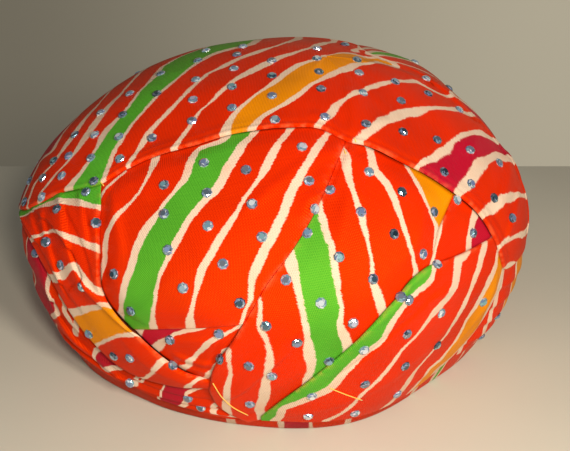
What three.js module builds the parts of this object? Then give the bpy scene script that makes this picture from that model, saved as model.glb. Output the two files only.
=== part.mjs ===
// A tied turban: folded cloths wound and stitched over inner wraps that leave an oval hollow for the head.
// Millimetres, +Z up, the front faces -Y and the wearer's left side is at +X.
// The turban rests on the flat ring under its inner wraps, with the origin on the floor at its middle.
//
// Every cloth lies on one smooth form. A place on it is an azimuth (0 at the front, 90 at +X) and a
// latitude (-90 at the floor, 0 at the widest girth, 90 at the top), both in degrees, and a lift in mm.

import * as THREE from 'three';

// Driving dimensions of the form
const TOTAL_HEIGHT = 167;
const GIRTH_HEIGHT = 81;
const DOME_POWER = 1.8;
const FOOT_INSET = 0.145;
const FOOT_POWER = 1.85;
const TOP_SHIFT_X = 20;
const TOP_SHIFT_Y = 10;
const LEAN_POWER = 1.5;
const TILT_X = -0.1;
const TILT_Y = 0.05;
const HIGHEST_LATITUDE = 89.5;

// Middle of the whole turban's plan, as measured from the axis of its girth plan
const CENTRE_X = -4.35;
const CENTRE_Y = 9.84;

// Plan of the widest girth, from the front round by +X
const GIRTH_PLAN = table('azimuth radius', [
  [0, 126], [30, 128], [60, 125], [90, 139], [120, 140], [150, 152],
  [180, 146], [210, 141], [240, 150], [270, 148], [300, 151], [330, 134],
]);
const PLAN_STEP = 30;

// The head hollow, an oval for a head of about 560 mm round
const HOLLOW_HALF_WIDTH = 82;
const HOLLOW_HALF_LENGTH = 95;
const HOLLOW_CENTRE_X = 0;
const HOLLOW_CENTRE_Y = 1;
const HOLLOW_HEIGHT = 126;
const HOLLOW_POWER = 2.2;
const LIP_RADIUS = 5;
const HEEL_RADIUS = 3;

// Depths below and above the form
const CORE_LIFT = -5.7;
const CLOTH_BACK = -2.7;
const SEAM_GAP = 0.5;
const EDGE_REACH = 14;

// Numbers of columns and rows on the plain pieces
const CORE_COLUMNS = 48;
const CROWN_ROWS = 8;

// Steps that the lengths of a border and of a line across a cloth are measured in
const LINE_STEPS = 80;
const ACROSS_STEPS = 10;
const SETTLING_PASSES = 3;

// The least thickness of a cloth, and the most of its length that a trim and a rounded edge may take
const LEAST_THICKNESS = 0.8;
const TRIM_SHARE = 0.2;
const ROUND_SHARE = 0.3;
const LEAST_ROUND_IN_TRIMS = 1.5;
const STATION_SLACK = 0.4;

// Borders between the cloths
const CROWN_EDGE = table('azimuth latitude', [
  [-70, 2], [-64.5, 6], [-58, 12.5], [-51, 23.3], [-43.6, 30.3], [-41.3, 35.8], [-37, 42.3], [-30.5, 47.3],
  [-23, 52.6], [-13, 56.1], [-1.5, 58.3], [12, 59.2], [24, 55.8], [33.5, 53.7], [44, 48.2], [53, 42.4], [61.5, 33.8],
  [66.9, 26], [70.5, 15.3], [73, 4.5], [76, -6], [84, -8.5], [92, -9], [93.5, 6], [94.5, 18], [96, 29],
  [98, 36], [101, 43], [105, 49], [110, 54], [116, 59], [122, 64], [127, 69], [134, 73], [148, 74],
  [163, 70], [180, 67], [200, 62], [216, 52], [225, 40], [232, 26], [238, 10], [243, -9], [248, -9.5],
  [259, -8], [270, -6], [281, -3], [290, 2],
]);
const LEFT_BAND_INNER = table('azimuth latitude', [
  [-43.6, 30.3], [-39.2, 25], [-35, 17.5], [-32, 10], [-29, -6.5], [-23.5, -20.5], [-19.5, -30], [-16, -37],
  [-12, -43], [-6, -46.5],
]);
const LEFT_BAND_OUTER = table('azimuth latitude', [
  [-70, 2], [-63, 5], [-56, 5.5], [-50.5, 2.5], [-47.3, -4], [-44.9, -13], [-41.5, -28.5], [-39.1, -38],
  [-35.6, -48], [-31.6, -55], [-26, -58], [-19.4, -58.2], [-13.7, -57], [-6.8, -54.5],
]);
const FRONT_SEAM = table('azimuth latitude', [
  [24, 55.8], [20.2, 49.8], [17.2, 43], [14, 34.5], [10.8, 26.5], [6.7, 16.5], [4.8, 9], [2.8, 1],
]);
const PANEL_FOOT = table('azimuth latitude', [[-23.5, -20.5], [-14.8, -12.5], [-6.4, -6], [2.8, 1]]);
const CROSSING_UPPER = table('azimuth latitude', [
  [2.8, 1], [-0.5, -15.5], [-3.1, -26], [-5.2, -38], [-6, -46.5],
]);
const BAND_TIP = table('azimuth latitude', [[-6, -46.5], [-6.8, -54.5]]);
const CROSSING_LOWER = table('azimuth latitude', [[-6.8, -54.5], [-5.7, -68], [-1.8, -79], [1.5, -85]]);
const FRONT_HEEL = table('azimuth latitude', [[1.5, -85], [5.5, -80]]);
const RIGHT_BAND_TIP = table('azimuth latitude', [[5.5, -80], [5.5, -75.5]]);
const RIGHT_BAND_TOP = table('azimuth latitude', [
  [5.5, -75.5], [10.8, -57.5], [17.1, -38.5], [22.9, -21], [27.2, -9], [32.1, 4], [36.4, 10.2], [40.3, 14.8],
  [46.5, 17], [53.3, 16], [60, 15.3], [70.5, 15.3],
]);
const RIGHT_BAND_FOOT = table('azimuth latitude', [
  [5.5, -80], [11, -80], [21, -81], [33, -82], [44, -82], [55, -78], [64, -69],
  [69, -58], [72.5, -45], [75, -25], [76, -6],
]);
const SIDE_FOLD = table('azimuth latitude', [[46.5, 17], [49, 21.7], [51.3, 26], [56, 30], [61.5, 33.8]]);
const BACK_DRAPE_FOOT = table('azimuth latitude', [
  [92, -9], [120, -10], [150, -10], [180, -10], [210, -10], [243, -9],
]);
const RIM_TOP = table('azimuth latitude', [
  [64, -69], [75, -71], [90, -74], [130, -76], [180, -76], [248, -75], [270, -74], [290, -72],
  [310, -73], [325, -77], [340, -80], [354, -82.5], [361.5, -85],
]);
const BACK_SPLIT = table('azimuth latitude', [[248, -75], [248, -9.5]]);
const RIM_FOOT_LATITUDE = -89;

// Pleats: how far across the band each one lies, its height and how far along the band it runs
const LEFT_BAND_PLEATS = table('across height fade', [
  [0.3, 1.3, 0.75], [0.52, 1.5, 0.6], [0.74, 1.2, 0.5],
]);
const RIGHT_BAND_PLEATS = table('across height fade', [[0.35, 0.8, 1], [0.62, 0.9, 1]]);
const BACK_BAND_PLEATS = table('across height fade', [
  [0.2, 1.6, 1], [0.4, 1.8, 1], [0.6, 1.8, 1], [0.8, 1.5, 1],
]);
const RIM_PLEATS = table('across height fade', [[0.45, 1.4, 1]]);
const PLEAT_RUN = 7;
const PLEAT_FALL = 2.5;
const PLEAT_FADE = 0.25;

// The roll of the left band: where along the band it starts, swells and ends, its height and its roundness
const ROLL_START = 0.3;
const ROLL_SWELL = 0.4;
const ROLL_END = 1.06;
const ROLL_FADE = 0.3;
const ROLL_HEIGHT = 3.2;
const ROLL_POWER = 0.7;

// The crown drape's hem and top, and how its columns even out towards the top
const HEM_RADIUS = 1.8;
const HEM_LIFT = 1.3;
const HEM_TUCK = 0.75;
const HEM_REACH = EDGE_REACH / 2;
const TOP_LIFT = 0.6;
const TOP_OPENING = 0.6;
const EVENING_POWER = 3;

// Soft folds of the crown drape, down its right side
const CROWN_FOLDS = table('azimuth latitude width height', [
  [64, 42, 7, 1.2], [78, 36, 7, 1.4], [90, 30, 8, 1.4], [40, 60, 9, 1],
]);
const CROWN_FOLD_HALF_LENGTH = 24;

// Section of the lowest wrap, from its top edge down its back and up its front
const RIM_SECTION = table('share lift', [
  [1, CLOTH_BACK], [0, CLOTH_BACK], [0, -1.2], [0.25, -0.4], [0.8, -0.4], [1, -1],
]);
const RIM_TRIM = 0.6;

// Rings of the inner wraps: latitudes up the outside, and shares of the hollow's plan up to its roof
const SHELL_LATITUDES = [-75, -60, -45, -30, -15, 0, 14, 28, 42, 56, 68, 79];
const ROOF_SHARES = [0.97, 0.9, 0.78, 0.62, 0.44, 0.24];
const LIP_BEVEL = 0.3;

// Names the columns of a short table
function table(columns, rows) {
  const names = columns.split(' ');
  return rows.map((row) => Object.fromEntries(names.map((name, i) => [name, row[i]])));
}

function radians(degrees) {
  return degrees * Math.PI / 180;
}

function clamp(value, low, high) {
  return Math.min(high, Math.max(low, value));
}

function mix(a, b, share) {
  return a + (b - a) * share;
}

// A value from a list spread evenly over 0 to 1
function spread(list, share) {
  const place = clamp(share, 0, 1) * (list.length - 1);
  const start = Math.min(Math.floor(place), list.length - 2);
  return list.length === 1 ? list[0] : mix(list[start], list[start + 1], place - start);
}

// Radius of the widest girth, smooth through the rows of its plan
function girthRadius(azimuth) {
  const place = (((azimuth % 360) + 360) % 360) / PLAN_STEP;
  const start = Math.floor(place);
  const share = place - start;
  const count = GIRTH_PLAN.length;
  const [a, b, c, d] = [-1, 0, 1, 2].map((k) => GIRTH_PLAN[(start + k + count) % count].radius);
  const bend = (2 * a - 5 * b + 4 * c - d) * share ** 2 + (3 * b - a - 3 * c + d) * share ** 3;
  return b + 0.5 * ((c - a) * share + bend);
}

// The point of the form at an azimuth and a latitude
function formPoint(azimuth, latitude) {
  const up = radians(clamp(latitude, 0, 90));
  const down = clamp(-latitude / 90, 0, 1);
  const isUp = latitude >= 0;
  const share = isUp ? Math.max(0, Math.cos(up)) ** (2 / DOME_POWER) : 1 - FOOT_INSET * down ** FOOT_POWER;
  const rise = (TOTAL_HEIGHT - GIRTH_HEIGHT) * Math.sin(up) ** (2 / DOME_POWER);
  const height = isUp ? GIRTH_HEIGHT + rise : GIRTH_HEIGHT * (1 - down);
  const radius = share * girthRadius(azimuth);
  const x = radius * Math.sin(radians(azimuth));
  const y = -radius * Math.cos(radians(azimuth));
  const lean = clamp((height - GIRTH_HEIGHT) / (TOTAL_HEIGHT - GIRTH_HEIGHT), 0, 1) ** LEAN_POWER;
  const tilt = (TILT_X * x + TILT_Y * y) * clamp(height / TOTAL_HEIGHT, 0, 1);
  const leanX = TOP_SHIFT_X * lean - CENTRE_X;
  const leanY = TOP_SHIFT_Y * lean - CENTRE_Y;
  return new THREE.Vector3(x + leanX, y + leanY, height + tilt);
}

// The outward direction there. It never points down, so a lift keeps its height near the floor.
function outward(azimuth, latitude) {
  const at = Math.min(latitude, HIGHEST_LATITUDE - 1);
  const side = formPoint(azimuth + 0.5, at).sub(formPoint(azimuth - 0.5, at));
  const rise = formPoint(azimuth, Math.min(at + 0.5, 90)).sub(formPoint(azimuth, Math.max(at - 0.5, -90)));
  const normal = side.cross(rise).normalize();
  normal.z = Math.max(normal.z, 0);
  return normal.normalize();
}

function lifted(azimuth, latitude, lift) {
  return formPoint(azimuth, latitude).addScaledVector(outward(azimuth, latitude), lift);
}

// A smooth line through a border's rows, and a stretch of it between two rows in a number of cells
const curves = new Map();
function curveOf(border) {
  if (!curves.has(border)) {
    const points = border.map((row) => new THREE.Vector3(row.azimuth, row.latitude, 0));
    curves.set(border, new THREE.CatmullRomCurve3(points, false, 'centripetal'));
  }
  return curves.get(border);
}

function stretch(border, from, to, cells) {
  const last = border.length - 1;
  const lineAt = (share) => curveOf(border).getPoint(clamp(mix(from, to, share) / last, 0, 1));
  const runs = [0];
  for (let k = 1; k <= LINE_STEPS; k += 1) {
    const [a, b] = [lineAt((k - 1) / LINE_STEPS), lineAt(k / LINE_STEPS)];
    runs.push(runs[k - 1] + formPoint(a.x, a.y).distanceTo(formPoint(b.x, b.y)));
  }
  const at = (share) => {
    const run = clamp(share, 0, 1) * runs[LINE_STEPS];
    const step = clamp(runs.findIndex((value) => value >= run), 1, LINE_STEPS);
    const part = (run - runs[step - 1]) / (runs[step] - runs[step - 1]);
    return lineAt((step - 1 + part) / LINE_STEPS);
  };
  return { cells, at };
}

function whole(border, cells) {
  return stretch(border, 0, border.length - 1, cells);
}

function backwards(part) {
  return { cells: part.cells, at: (share) => part.at(1 - share) };
}

// Several stretches end to end, as one side of a cloth
function chain(...parts) {
  const cells = parts.reduce((sum, part) => sum + part.cells, 0);
  const at = (share) => {
    let place = clamp(share, 0, 1) * cells;
    for (const part of parts) {
      if (place <= part.cells + 1e-9) return part.at(Math.min(place / part.cells, 1));
      place -= part.cells;
    }
    return parts[parts.length - 1].at(1);
  };
  return { cells, at };
}

// The same side, for a cloth whose azimuths run on past a whole turn
function turned(part) {
  return { cells: part.cells, at: (share) => part.at(share).setX(part.at(share).x + 360) };
}

function rowAt(border, azimuth) {
  return border.findIndex((row) => row.azimuth === azimuth);
}

function crownStretch(fromAzimuth, toAzimuth, cells) {
  return stretch(CROWN_EDGE, rowAt(CROWN_EDGE, fromAzimuth), rowAt(CROWN_EDGE, toAzimuth), cells);
}

// Named sides, each shared by the cloths on both sides of it
const SIDES = {
  crownOverLeftBand: crownStretch(-70, -43.6, 8),
  crownOverLeftPanel: crownStretch(-43.6, 24, 12),
  crownOverRightPanel: crownStretch(24, 61.5, 8),
  crownOverSideFold: crownStretch(61.5, 70.5, 3),
  crownOverRightBand: crownStretch(70.5, 76, 5),
  crownOverBackBand: crownStretch(76, 92, 3),
  crownHem: crownStretch(92, 243, 20),
  crownOverRimWrap: crownStretch(248, 290, 6),
  crownOverBackEnd: crownStretch(243, 248, 1),
  leftBandPanel: stretch(LEFT_BAND_INNER, 0, 5, 11),
  leftBandFold: stretch(LEFT_BAND_INNER, 5, 9, 12),
  leftBandOuter: whole(LEFT_BAND_OUTER, 23),
  frontSeam: whole(FRONT_SEAM, 11),
  panelFoot: whole(PANEL_FOOT, 12),
  crossingUpper: whole(CROSSING_UPPER, 5),
  bandTip: whole(BAND_TIP, 2),
  crossingLower: whole(CROSSING_LOWER, 4),
  frontHeel: whole(FRONT_HEEL, 1),
  rightBandTip: whole(RIGHT_BAND_TIP, 1),
  rightBandPanel: stretch(RIGHT_BAND_TOP, 0, 8, 19),
  rightBandSide: stretch(RIGHT_BAND_TOP, 8, 11, 5),
  rightBandFoot: stretch(RIGHT_BAND_FOOT, 0, 6, 16),
  rightBandEnd: stretch(RIGHT_BAND_FOOT, 6, 10, 8),
  sideFold: whole(SIDE_FOLD, 3),
  backDrapeFoot: whole(BACK_DRAPE_FOOT, 20),
  rimBack: stretch(RIM_TOP, 0, 5, 20),
  rimLeft: stretch(RIM_TOP, 5, 12, 28),
  backSplit: whole(BACK_SPLIT, 4),
};

// Height of a rounded folded edge below the cloth, by the distance from the edge
function edgeDrop(distance, round) {
  if (round <= 0 || distance >= round) return 0;
  return round - Math.sqrt(round ** 2 - (round - distance) ** 2);
}

// Rise of the pleats at a place on a band: each one rises slowly and falls sharply at its fold
function pleatLift(pleats, along, across, width) {
  return pleats.reduce((sum, pleat) => {
    const distance = (across - pleat.across) * width;
    const reach = distance < 0 ? PLEAT_RUN : PLEAT_FALL;
    const fade = clamp((pleat.fade - along) / PLEAT_FADE + 0.5, 0, 1);
    return sum + pleat.height * fade * Math.exp(-((distance / reach) ** 2));
  }, 0);
}

// Distances along a line of the cloth: at the trimmed edge, where its rounding ends, and evenly between
function stations(cells, length, roundStart, roundEnd) {
  const trim = Math.min(SEAM_GAP / 2, length * TRIM_SHARE);
  const start = Math.max(Math.min(roundStart, length * ROUND_SHARE), trim * LEAST_ROUND_IN_TRIMS);
  const end = Math.max(Math.min(roundEnd, length * ROUND_SHARE), trim * LEAST_ROUND_IN_TRIMS);
  const list = [trim / length];
  if (roundStart > 0) list.push(start / length);
  for (let k = 1; k < cells; k += 1) {
    const low = roundStart > 0 ? start / length : trim / length;
    const high = roundEnd > 0 ? 1 - end / length : 1 - trim / length;
    const least = mix(low, high, (k - STATION_SLACK) / cells);
    const most = mix(low, high, (k + STATION_SLACK) / cells);
    list.push(clamp(k / cells, least, most));
  }
  if (roundEnd > 0) list.push(1 - end / length);
  list.push(1 - trim / length);
  return list;
}

// A cloth between four sides. Each side gives its border, its lift and the radius of its folded edge.
function clothPatch(cloth) {
  const { bottom, top, left, right } = cloth;
  const corner = [bottom.border.at(0), bottom.border.at(1), top.border.at(0), top.border.at(1)];
  const placeAt = (u, v) => {
    const point = bottom.border.at(u).clone().multiplyScalar(1 - v);
    point.addScaledVector(top.border.at(u), v);
    point.addScaledVector(left.border.at(v), 1 - u);
    point.addScaledVector(right.border.at(v), u);
    point.addScaledVector(corner[0], -(1 - u) * (1 - v));
    point.addScaledVector(corner[1], -u * (1 - v));
    point.addScaledVector(corner[2], -(1 - u) * v);
    point.addScaledVector(corner[3], -u * v);
    return point;
  };
  const lineLength = (line) => {
    let length = 0;
    let last = null;
    for (let k = 0; k <= ACROSS_STEPS; k += 1) {
      const place = line(k / ACROSS_STEPS);
      const point = formPoint(place.x, place.y);
      if (last) length += point.distanceTo(last);
      last = point;
    }
    return length;
  };
  const columns = Math.max(bottom.border.cells, top.border.cells);
  const rows = Math.max(left.border.cells, right.border.cells);
  const maxRound = (side) => Math.max(...side.round);
  const lengthU = (v) => lineLength((u) => placeAt(u, v));
  const lengthV = (u) => lineLength((v) => placeAt(u, v));
  const countU = stations(columns, lengthU(0.5), maxRound(left), maxRound(right)).length;
  const countV = stations(rows, lengthV(0.5), maxRound(bottom), maxRound(top)).length;

  const liftAt = (u, v, sizeU, sizeV) => {
    const near = [
      [u * sizeU, left, v], [(1 - u) * sizeU, right, v], [v * sizeV, bottom, u], [(1 - v) * sizeV, top, u],
    ];
    let total = 0;
    let blended = 0;
    let drop = 0;
    for (const [distance, side, along] of near) {
      const share = clamp(1 - distance / EDGE_REACH, 0, 1);
      const weight = share * share * (3 - 2 * share);
      total += weight;
      blended += weight * spread(side.lift, along);
      drop = Math.max(drop, edgeDrop(distance, spread(side.round, along)));
    }
    const open = Math.max(0, 1 - total);
    const lift = (blended + open * cloth.centre) / (total + open);
    return lift + (cloth.detail ? cloth.detail(u, v, sizeU, sizeV) : 0) - drop;
  };

  const outer = [];
  const inner = [];
  for (let j = 0; j < countV; j += 1) {
    for (let i = 0; i < countU; i += 1) {
      let u = i / (countU - 1);
      let v = j / (countV - 1);
      for (let pass = 0; pass < SETTLING_PASSES; pass += 1) {
        u = stations(columns, lengthU(v), maxRound(left), maxRound(right))[i];
        v = stations(rows, lengthV(u), maxRound(bottom), maxRound(top))[j];
      }
      const place = placeAt(u, v);
      const lift = Math.max(liftAt(u, v, lengthU(v), lengthV(u)), CLOTH_BACK + LEAST_THICKNESS);
      outer.push(lifted(place.x, place.y, lift));
      inner.push(lifted(place.x, place.y, CLOTH_BACK));
    }
  }
  return slabGeometry(outer, inner, countU, countV);
}

// Closed solid of two matching grids of points joined round their rim
function slabGeometry(outer, inner, countU, countV) {
  const index = [];
  const offset = outer.length;
  const quad = (a, b, c, d) => index.push(a, b, c, a, c, d);
  for (let j = 0; j < countV - 1; j += 1) {
    for (let i = 0; i < countU - 1; i += 1) {
      const a = j * countU + i;
      quad(a, a + 1, a + countU + 1, a + countU);
      quad(offset + a + countU, offset + a + countU + 1, offset + a + 1, offset + a);
    }
  }
  const rim = [];
  for (let i = 0; i < countU - 1; i += 1) rim.push(i);
  for (let j = 0; j < countV - 1; j += 1) rim.push(j * countU + countU - 1);
  for (let i = countU - 1; i > 0; i -= 1) rim.push((countV - 1) * countU + i);
  for (let j = countV - 1; j > 0; j -= 1) rim.push(j * countU);
  rim.forEach((a, k) => {
    const b = rim[(k + 1) % rim.length];
    quad(offset + a, offset + b, b, a);
  });
  return meshGeometry([...outer, ...inner], index);
}

// Closed solid of rings of points: the rings follow each other and the last one meets the first,
// or each end closes on a single point
function ringGeometry(rings, startPoint, endPoint) {
  const count = rings[0].length;
  const points = rings.flat();
  const index = [];
  const bands = startPoint ? rings.length - 1 : rings.length;
  for (let r = 0; r < bands; r += 1) {
    const low = r * count;
    const high = ((r + 1) % rings.length) * count;
    for (let k = 0; k < count; k += 1) {
      const next = (k + 1) % count;
      index.push(low + k, low + next, high + next, low + k, high + next, high + k);
    }
  }
  if (startPoint) {
    const start = points.push(startPoint) - 1;
    const end = points.push(endPoint) - 1;
    const last = (rings.length - 1) * count;
    for (let k = 0; k < count; k += 1) {
      const next = (k + 1) % count;
      index.push(start, next, k);
      index.push(last + k, last + next, end);
    }
  }
  return meshGeometry(points, index);
}

function meshGeometry(points, index) {
  const geometry = new THREE.BufferGeometry();
  geometry.setFromPoints(points);
  geometry.setIndex(index);
  geometry.computeVertexNormals();
  return geometry;
}

// The inner wraps: a wound cloth dome, hollow for the head, with the flat ring that it rests on
function innerWraps() {
  const azimuths = Array.from({ length: CORE_COLUMNS }, (_, k) => k * 360 / CORE_COLUMNS);
  const hollowPoint = (azimuth, height, widen) => {
    const share = Math.max(0, 1 - (height / HOLLOW_HEIGHT) ** HOLLOW_POWER) ** (1 / HOLLOW_POWER);
    const x = HOLLOW_CENTRE_X + (HOLLOW_HALF_WIDTH + widen) * share * Math.sin(radians(azimuth));
    const y = HOLLOW_CENTRE_Y - (HOLLOW_HALF_LENGTH + widen) * share * Math.cos(radians(azimuth));
    return new THREE.Vector3(x, y, height);
  };
  const roofHeight = (share) => HOLLOW_HEIGHT * (1 - share ** HOLLOW_POWER) ** (1 / HOLLOW_POWER);
  const hollowHeights = ROOF_SHARES.map(roofHeight).reverse();
  const footPoint = (azimuth, height, inset) => {
    const latitude = -90 * (1 - height / GIRTH_HEIGHT);
    return lifted(azimuth, latitude, CORE_LIFT - inset).setZ(height);
  };
  const rings = [
    ...hollowHeights.map((height) => azimuths.map((azimuth) => hollowPoint(azimuth, height, 0))),
    azimuths.map((azimuth) => hollowPoint(azimuth, LIP_RADIUS, 0)),
    azimuths.map((azimuth) => hollowPoint(azimuth, LIP_RADIUS * LIP_BEVEL, LIP_RADIUS * LIP_BEVEL)),
    azimuths.map((azimuth) => hollowPoint(azimuth, 0, LIP_RADIUS)),
    azimuths.map((azimuth) => footPoint(azimuth, 0, HEEL_RADIUS)),
    azimuths.map((azimuth) => footPoint(azimuth, HEEL_RADIUS, 0)),
    ...SHELL_LATITUDES.map((latitude) => azimuths.map((azimuth) => lifted(azimuth, latitude, CORE_LIFT))),
  ];
  const roof = new THREE.Vector3(HOLLOW_CENTRE_X, HOLLOW_CENTRE_Y, HOLLOW_HEIGHT);
  return ringGeometry(rings, roof, lifted(0, HIGHEST_LATITUDE, CORE_LIFT));
}

// A place moved in from a border by a distance, square to the line through its neighbours
function insetPlace(place, before, after, inset) {
  const here = formPoint(place.x, place.y);
  const azimuthSize = here.distanceTo(formPoint(place.x + 1, place.y));
  const latitudeSize = here.distanceTo(formPoint(place.x, place.y + 1));
  const turn = (after.x - before.x + 540) % 360 - 180;
  const line = new THREE.Vector2(turn * azimuthSize, (after.y - before.y) * latitudeSize).normalize();
  return { x: place.x - inset * line.y / azimuthSize, y: place.y + inset * line.x / latitudeSize };
}

// The crown drape: one cloth over the whole top, its folded hem lying on the cloths round it
function crownDrape() {
  const sides = [
    SIDES.crownOverLeftBand, SIDES.crownOverLeftPanel, SIDES.crownOverRightPanel, SIDES.crownOverSideFold,
    SIDES.crownOverRightBand, SIDES.crownOverBackBand, SIDES.crownHem, SIDES.crownOverBackEnd,
    SIDES.crownOverRimWrap,
  ];
  const edge = chain(...sides);
  const places = Array.from({ length: edge.cells }, (_, k) => edge.at(k / edge.cells));
  const count = places.length;
  const ring = (share, inset, lift) => places.map((place, k) => {
    const before = places[(k + count - 1) % count];
    const after = places[(k + 1) % count];
    const start = insetPlace(place, before, after, inset);
    const azimuth = mix(start.x, places[0].x + 360 * k / count, share ** EVENING_POWER);
    const latitude = mix(start.y, HIGHEST_LATITUDE, share);
    return lifted(azimuth, latitude, lift(azimuth, latitude, start.y));
  });
  const open = (azimuth, latitude, start) => {
    const share = clamp(1 - (latitude - start) / HEM_REACH, 0, 1);
    return mix(TOP_LIFT, HEM_LIFT, share * share) + crownFolds(azimuth, latitude);
  };
  const trim = SEAM_GAP / 2;
  const shares = Array.from({ length: CROWN_ROWS }, (_, k) => (k + 1) / (CROWN_ROWS + TOP_OPENING));
  const inner = [...shares].reverse();
  const rings = [
    ...inner.map((share) => ring(share, 0, () => CLOTH_BACK)),
    ring(0, trim, () => CLOTH_BACK),
    ring(0, trim, () => HEM_LIFT - HEM_RADIUS * HEM_TUCK),
    ring(0, HEM_RADIUS, open),
    ...shares.map((share) => ring(share, 0, open)),
  ];
  const apex = HIGHEST_LATITUDE;
  return ringGeometry(rings, lifted(0, apex, CLOTH_BACK), lifted(0, apex, TOP_LIFT));
}

// Rise of the crown drape's soft folds at a place
function crownFolds(azimuth, latitude) {
  return CROWN_FOLDS.reduce((sum, fold) => {
    const across = (azimuth - fold.azimuth) / fold.width;
    const along = (latitude - fold.latitude) / CROWN_FOLD_HALF_LENGTH;
    return sum + fold.height * Math.exp(-(across ** 2) - along ** 2);
  }, 0);
}

// The lowest wrap: a flat fold of cloth all round the foot
function lowerRimWrap() {
  const edge = chain(SIDES.rimBack, SIDES.rimLeft, SIDES.frontHeel, SIDES.rightBandFoot);
  const places = Array.from({ length: edge.cells }, (_, k) => edge.at(k / edge.cells));
  const rings = RIM_SECTION.map((step) => places.map((place) => {
    const latitude = mix(RIM_FOOT_LATITUDE, place.y - RIM_TRIM, step.share);
    return lifted(place.x, latitude, step.lift);
  }));
  return ringGeometry(rings, null, null);
}

// The roll of the left band: it swells towards the front and lies proud of the wraps under it
function leftBandRoll(along, across) {
  const swell = clamp((along - ROLL_START) / ROLL_SWELL, 0, 1) * clamp((ROLL_END - along) / ROLL_FADE, 0, 1);
  return ROLL_HEIGHT * swell * Math.sin(Math.PI * clamp(across, 0, 1)) ** ROLL_POWER;
}

const CLOTHS = {
  left_front_panel: {
    bottom: { border: SIDES.panelFoot, lift: [-0.6, 1.2], round: [1.2] },
    top: { border: SIDES.crownOverLeftPanel, lift: [-0.6], round: [0] },
    left: { border: backwards(SIDES.leftBandPanel), lift: [-0.6], round: [0] },
    right: { border: backwards(SIDES.frontSeam), lift: [1.2, 1], round: [1.4] },
    centre: 1.4,
  },
  right_front_panel: {
    bottom: { border: SIDES.frontHeel, lift: [-0.4], round: [1] },
    top: { border: SIDES.crownOverRightPanel, lift: [-0.6], round: [0] },
    left: {
      border: backwards(chain(SIDES.frontSeam, SIDES.crossingUpper, SIDES.bandTip, SIDES.crossingLower)),
      lift: [0.6, 1.4, 1.4, 0, -0.8, -0.8],
      round: [1, 1.2, 1.2, 1, 0.5, 0],
    },
    right: { border: chain(SIDES.rightBandPanel, SIDES.sideFold), lift: [-0.8], round: [0] },
    centre: 1,
  },
  right_side_fold: {
    bottom: { border: SIDES.rightBandSide, lift: [-0.6], round: [0] },
    top: { border: null, lift: [-0.4], round: [0] },
    left: { border: SIDES.sideFold, lift: [0.8], round: [1.1] },
    right: { border: backwards(SIDES.crownOverSideFold), lift: [-0.5], round: [0] },
    centre: 0.6,
  },
  under_fold: {
    bottom: { border: SIDES.leftBandFold, lift: [-1.4], round: [0] },
    top: { border: SIDES.panelFoot, lift: [-1.2], round: [0] },
    left: { border: null, lift: [-1.4], round: [0] },
    right: { border: backwards(SIDES.crossingUpper), lift: [-1.4], round: [0] },
    centre: -0.6,
  },
  left_band: {
    bottom: { border: SIDES.leftBandOuter, lift: [0.6, 0.8, 1.5, 1.8, 0.6], round: [1.2, 2, 2.6, 2.6, 1.4] },
    top: {
      border: chain(SIDES.leftBandPanel, SIDES.leftBandFold),
      lift: [0.6, 0.8, 1.5, 1.8, 0.6],
      round: [0.8, 1, 1.8, 2.4, 1.4],
    },
    left: { border: SIDES.crownOverLeftBand, lift: [-0.5], round: [0] },
    right: { border: backwards(SIDES.bandTip), lift: [-1], round: [0] },
    centre: 1,
    detail: (u, v, sizeU, sizeV) => leftBandRoll(u, v) + pleatLift(LEFT_BAND_PLEATS, u, v, sizeV),
  },
  right_band: {
    bottom: { border: chain(SIDES.rightBandFoot, SIDES.rightBandEnd), lift: [0], round: [1.2] },
    top: { border: chain(SIDES.rightBandPanel, SIDES.rightBandSide), lift: [1.2], round: [1.4] },
    left: { border: SIDES.rightBandTip, lift: [0.6], round: [0] },
    right: { border: backwards(SIDES.crownOverRightBand), lift: [-0.5], round: [0] },
    centre: 0.8,
    detail: (u, v, sizeU, sizeV) => pleatLift(RIGHT_BAND_PLEATS, u, v, sizeV),
  },
  back_drape: {
    bottom: { border: SIDES.backDrapeFoot, lift: [-0.8], round: [0] },
    top: { border: SIDES.crownHem, lift: [-0.8], round: [0] },
    left: { border: null, lift: [-0.8], round: [0] },
    right: { border: null, lift: [-0.8], round: [0] },
    centre: 0,
    rows: 7,
  },
  back_band: {
    bottom: { border: SIDES.rimBack, lift: [0.2], round: [1.2] },
    top: {
      border: chain(SIDES.crownOverBackBand, SIDES.backDrapeFoot, SIDES.crownOverBackEnd),
      lift: [-0.4, 0.8, 0.8, 0.8, -0.4],
      round: [0, 1.2, 1.2, 1.2, 0],
    },
    left: { border: SIDES.rightBandEnd, lift: [-0.8], round: [0] },
    right: { border: SIDES.backSplit, lift: [0.6], round: [1.2] },
    centre: 0.8,
    detail: (u, v, sizeU, sizeV) => pleatLift(BACK_BAND_PLEATS, u, v, sizeV),
  },
  left_rim_wrap: {
    bottom: { border: SIDES.rimLeft, lift: [0], round: [1] },
    top: {
      border: chain(SIDES.crownOverRimWrap, turned(SIDES.leftBandOuter)),
      lift: [-0.6],
      round: [0],
    },
    left: { border: SIDES.backSplit, lift: [-0.8], round: [0] },
    right: { border: turned(backwards(SIDES.crossingLower)), lift: [-1], round: [0] },
    centre: -0.2,
    detail: (u, v, sizeU, sizeV) => pleatLift(RIM_PLEATS, u, v, sizeV),
  },
};

// A straight side between the ends of the two sides next to it
function straight(from, to, cells) {
  return { cells, at: (share) => from.clone().lerp(to, share) };
}

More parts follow.
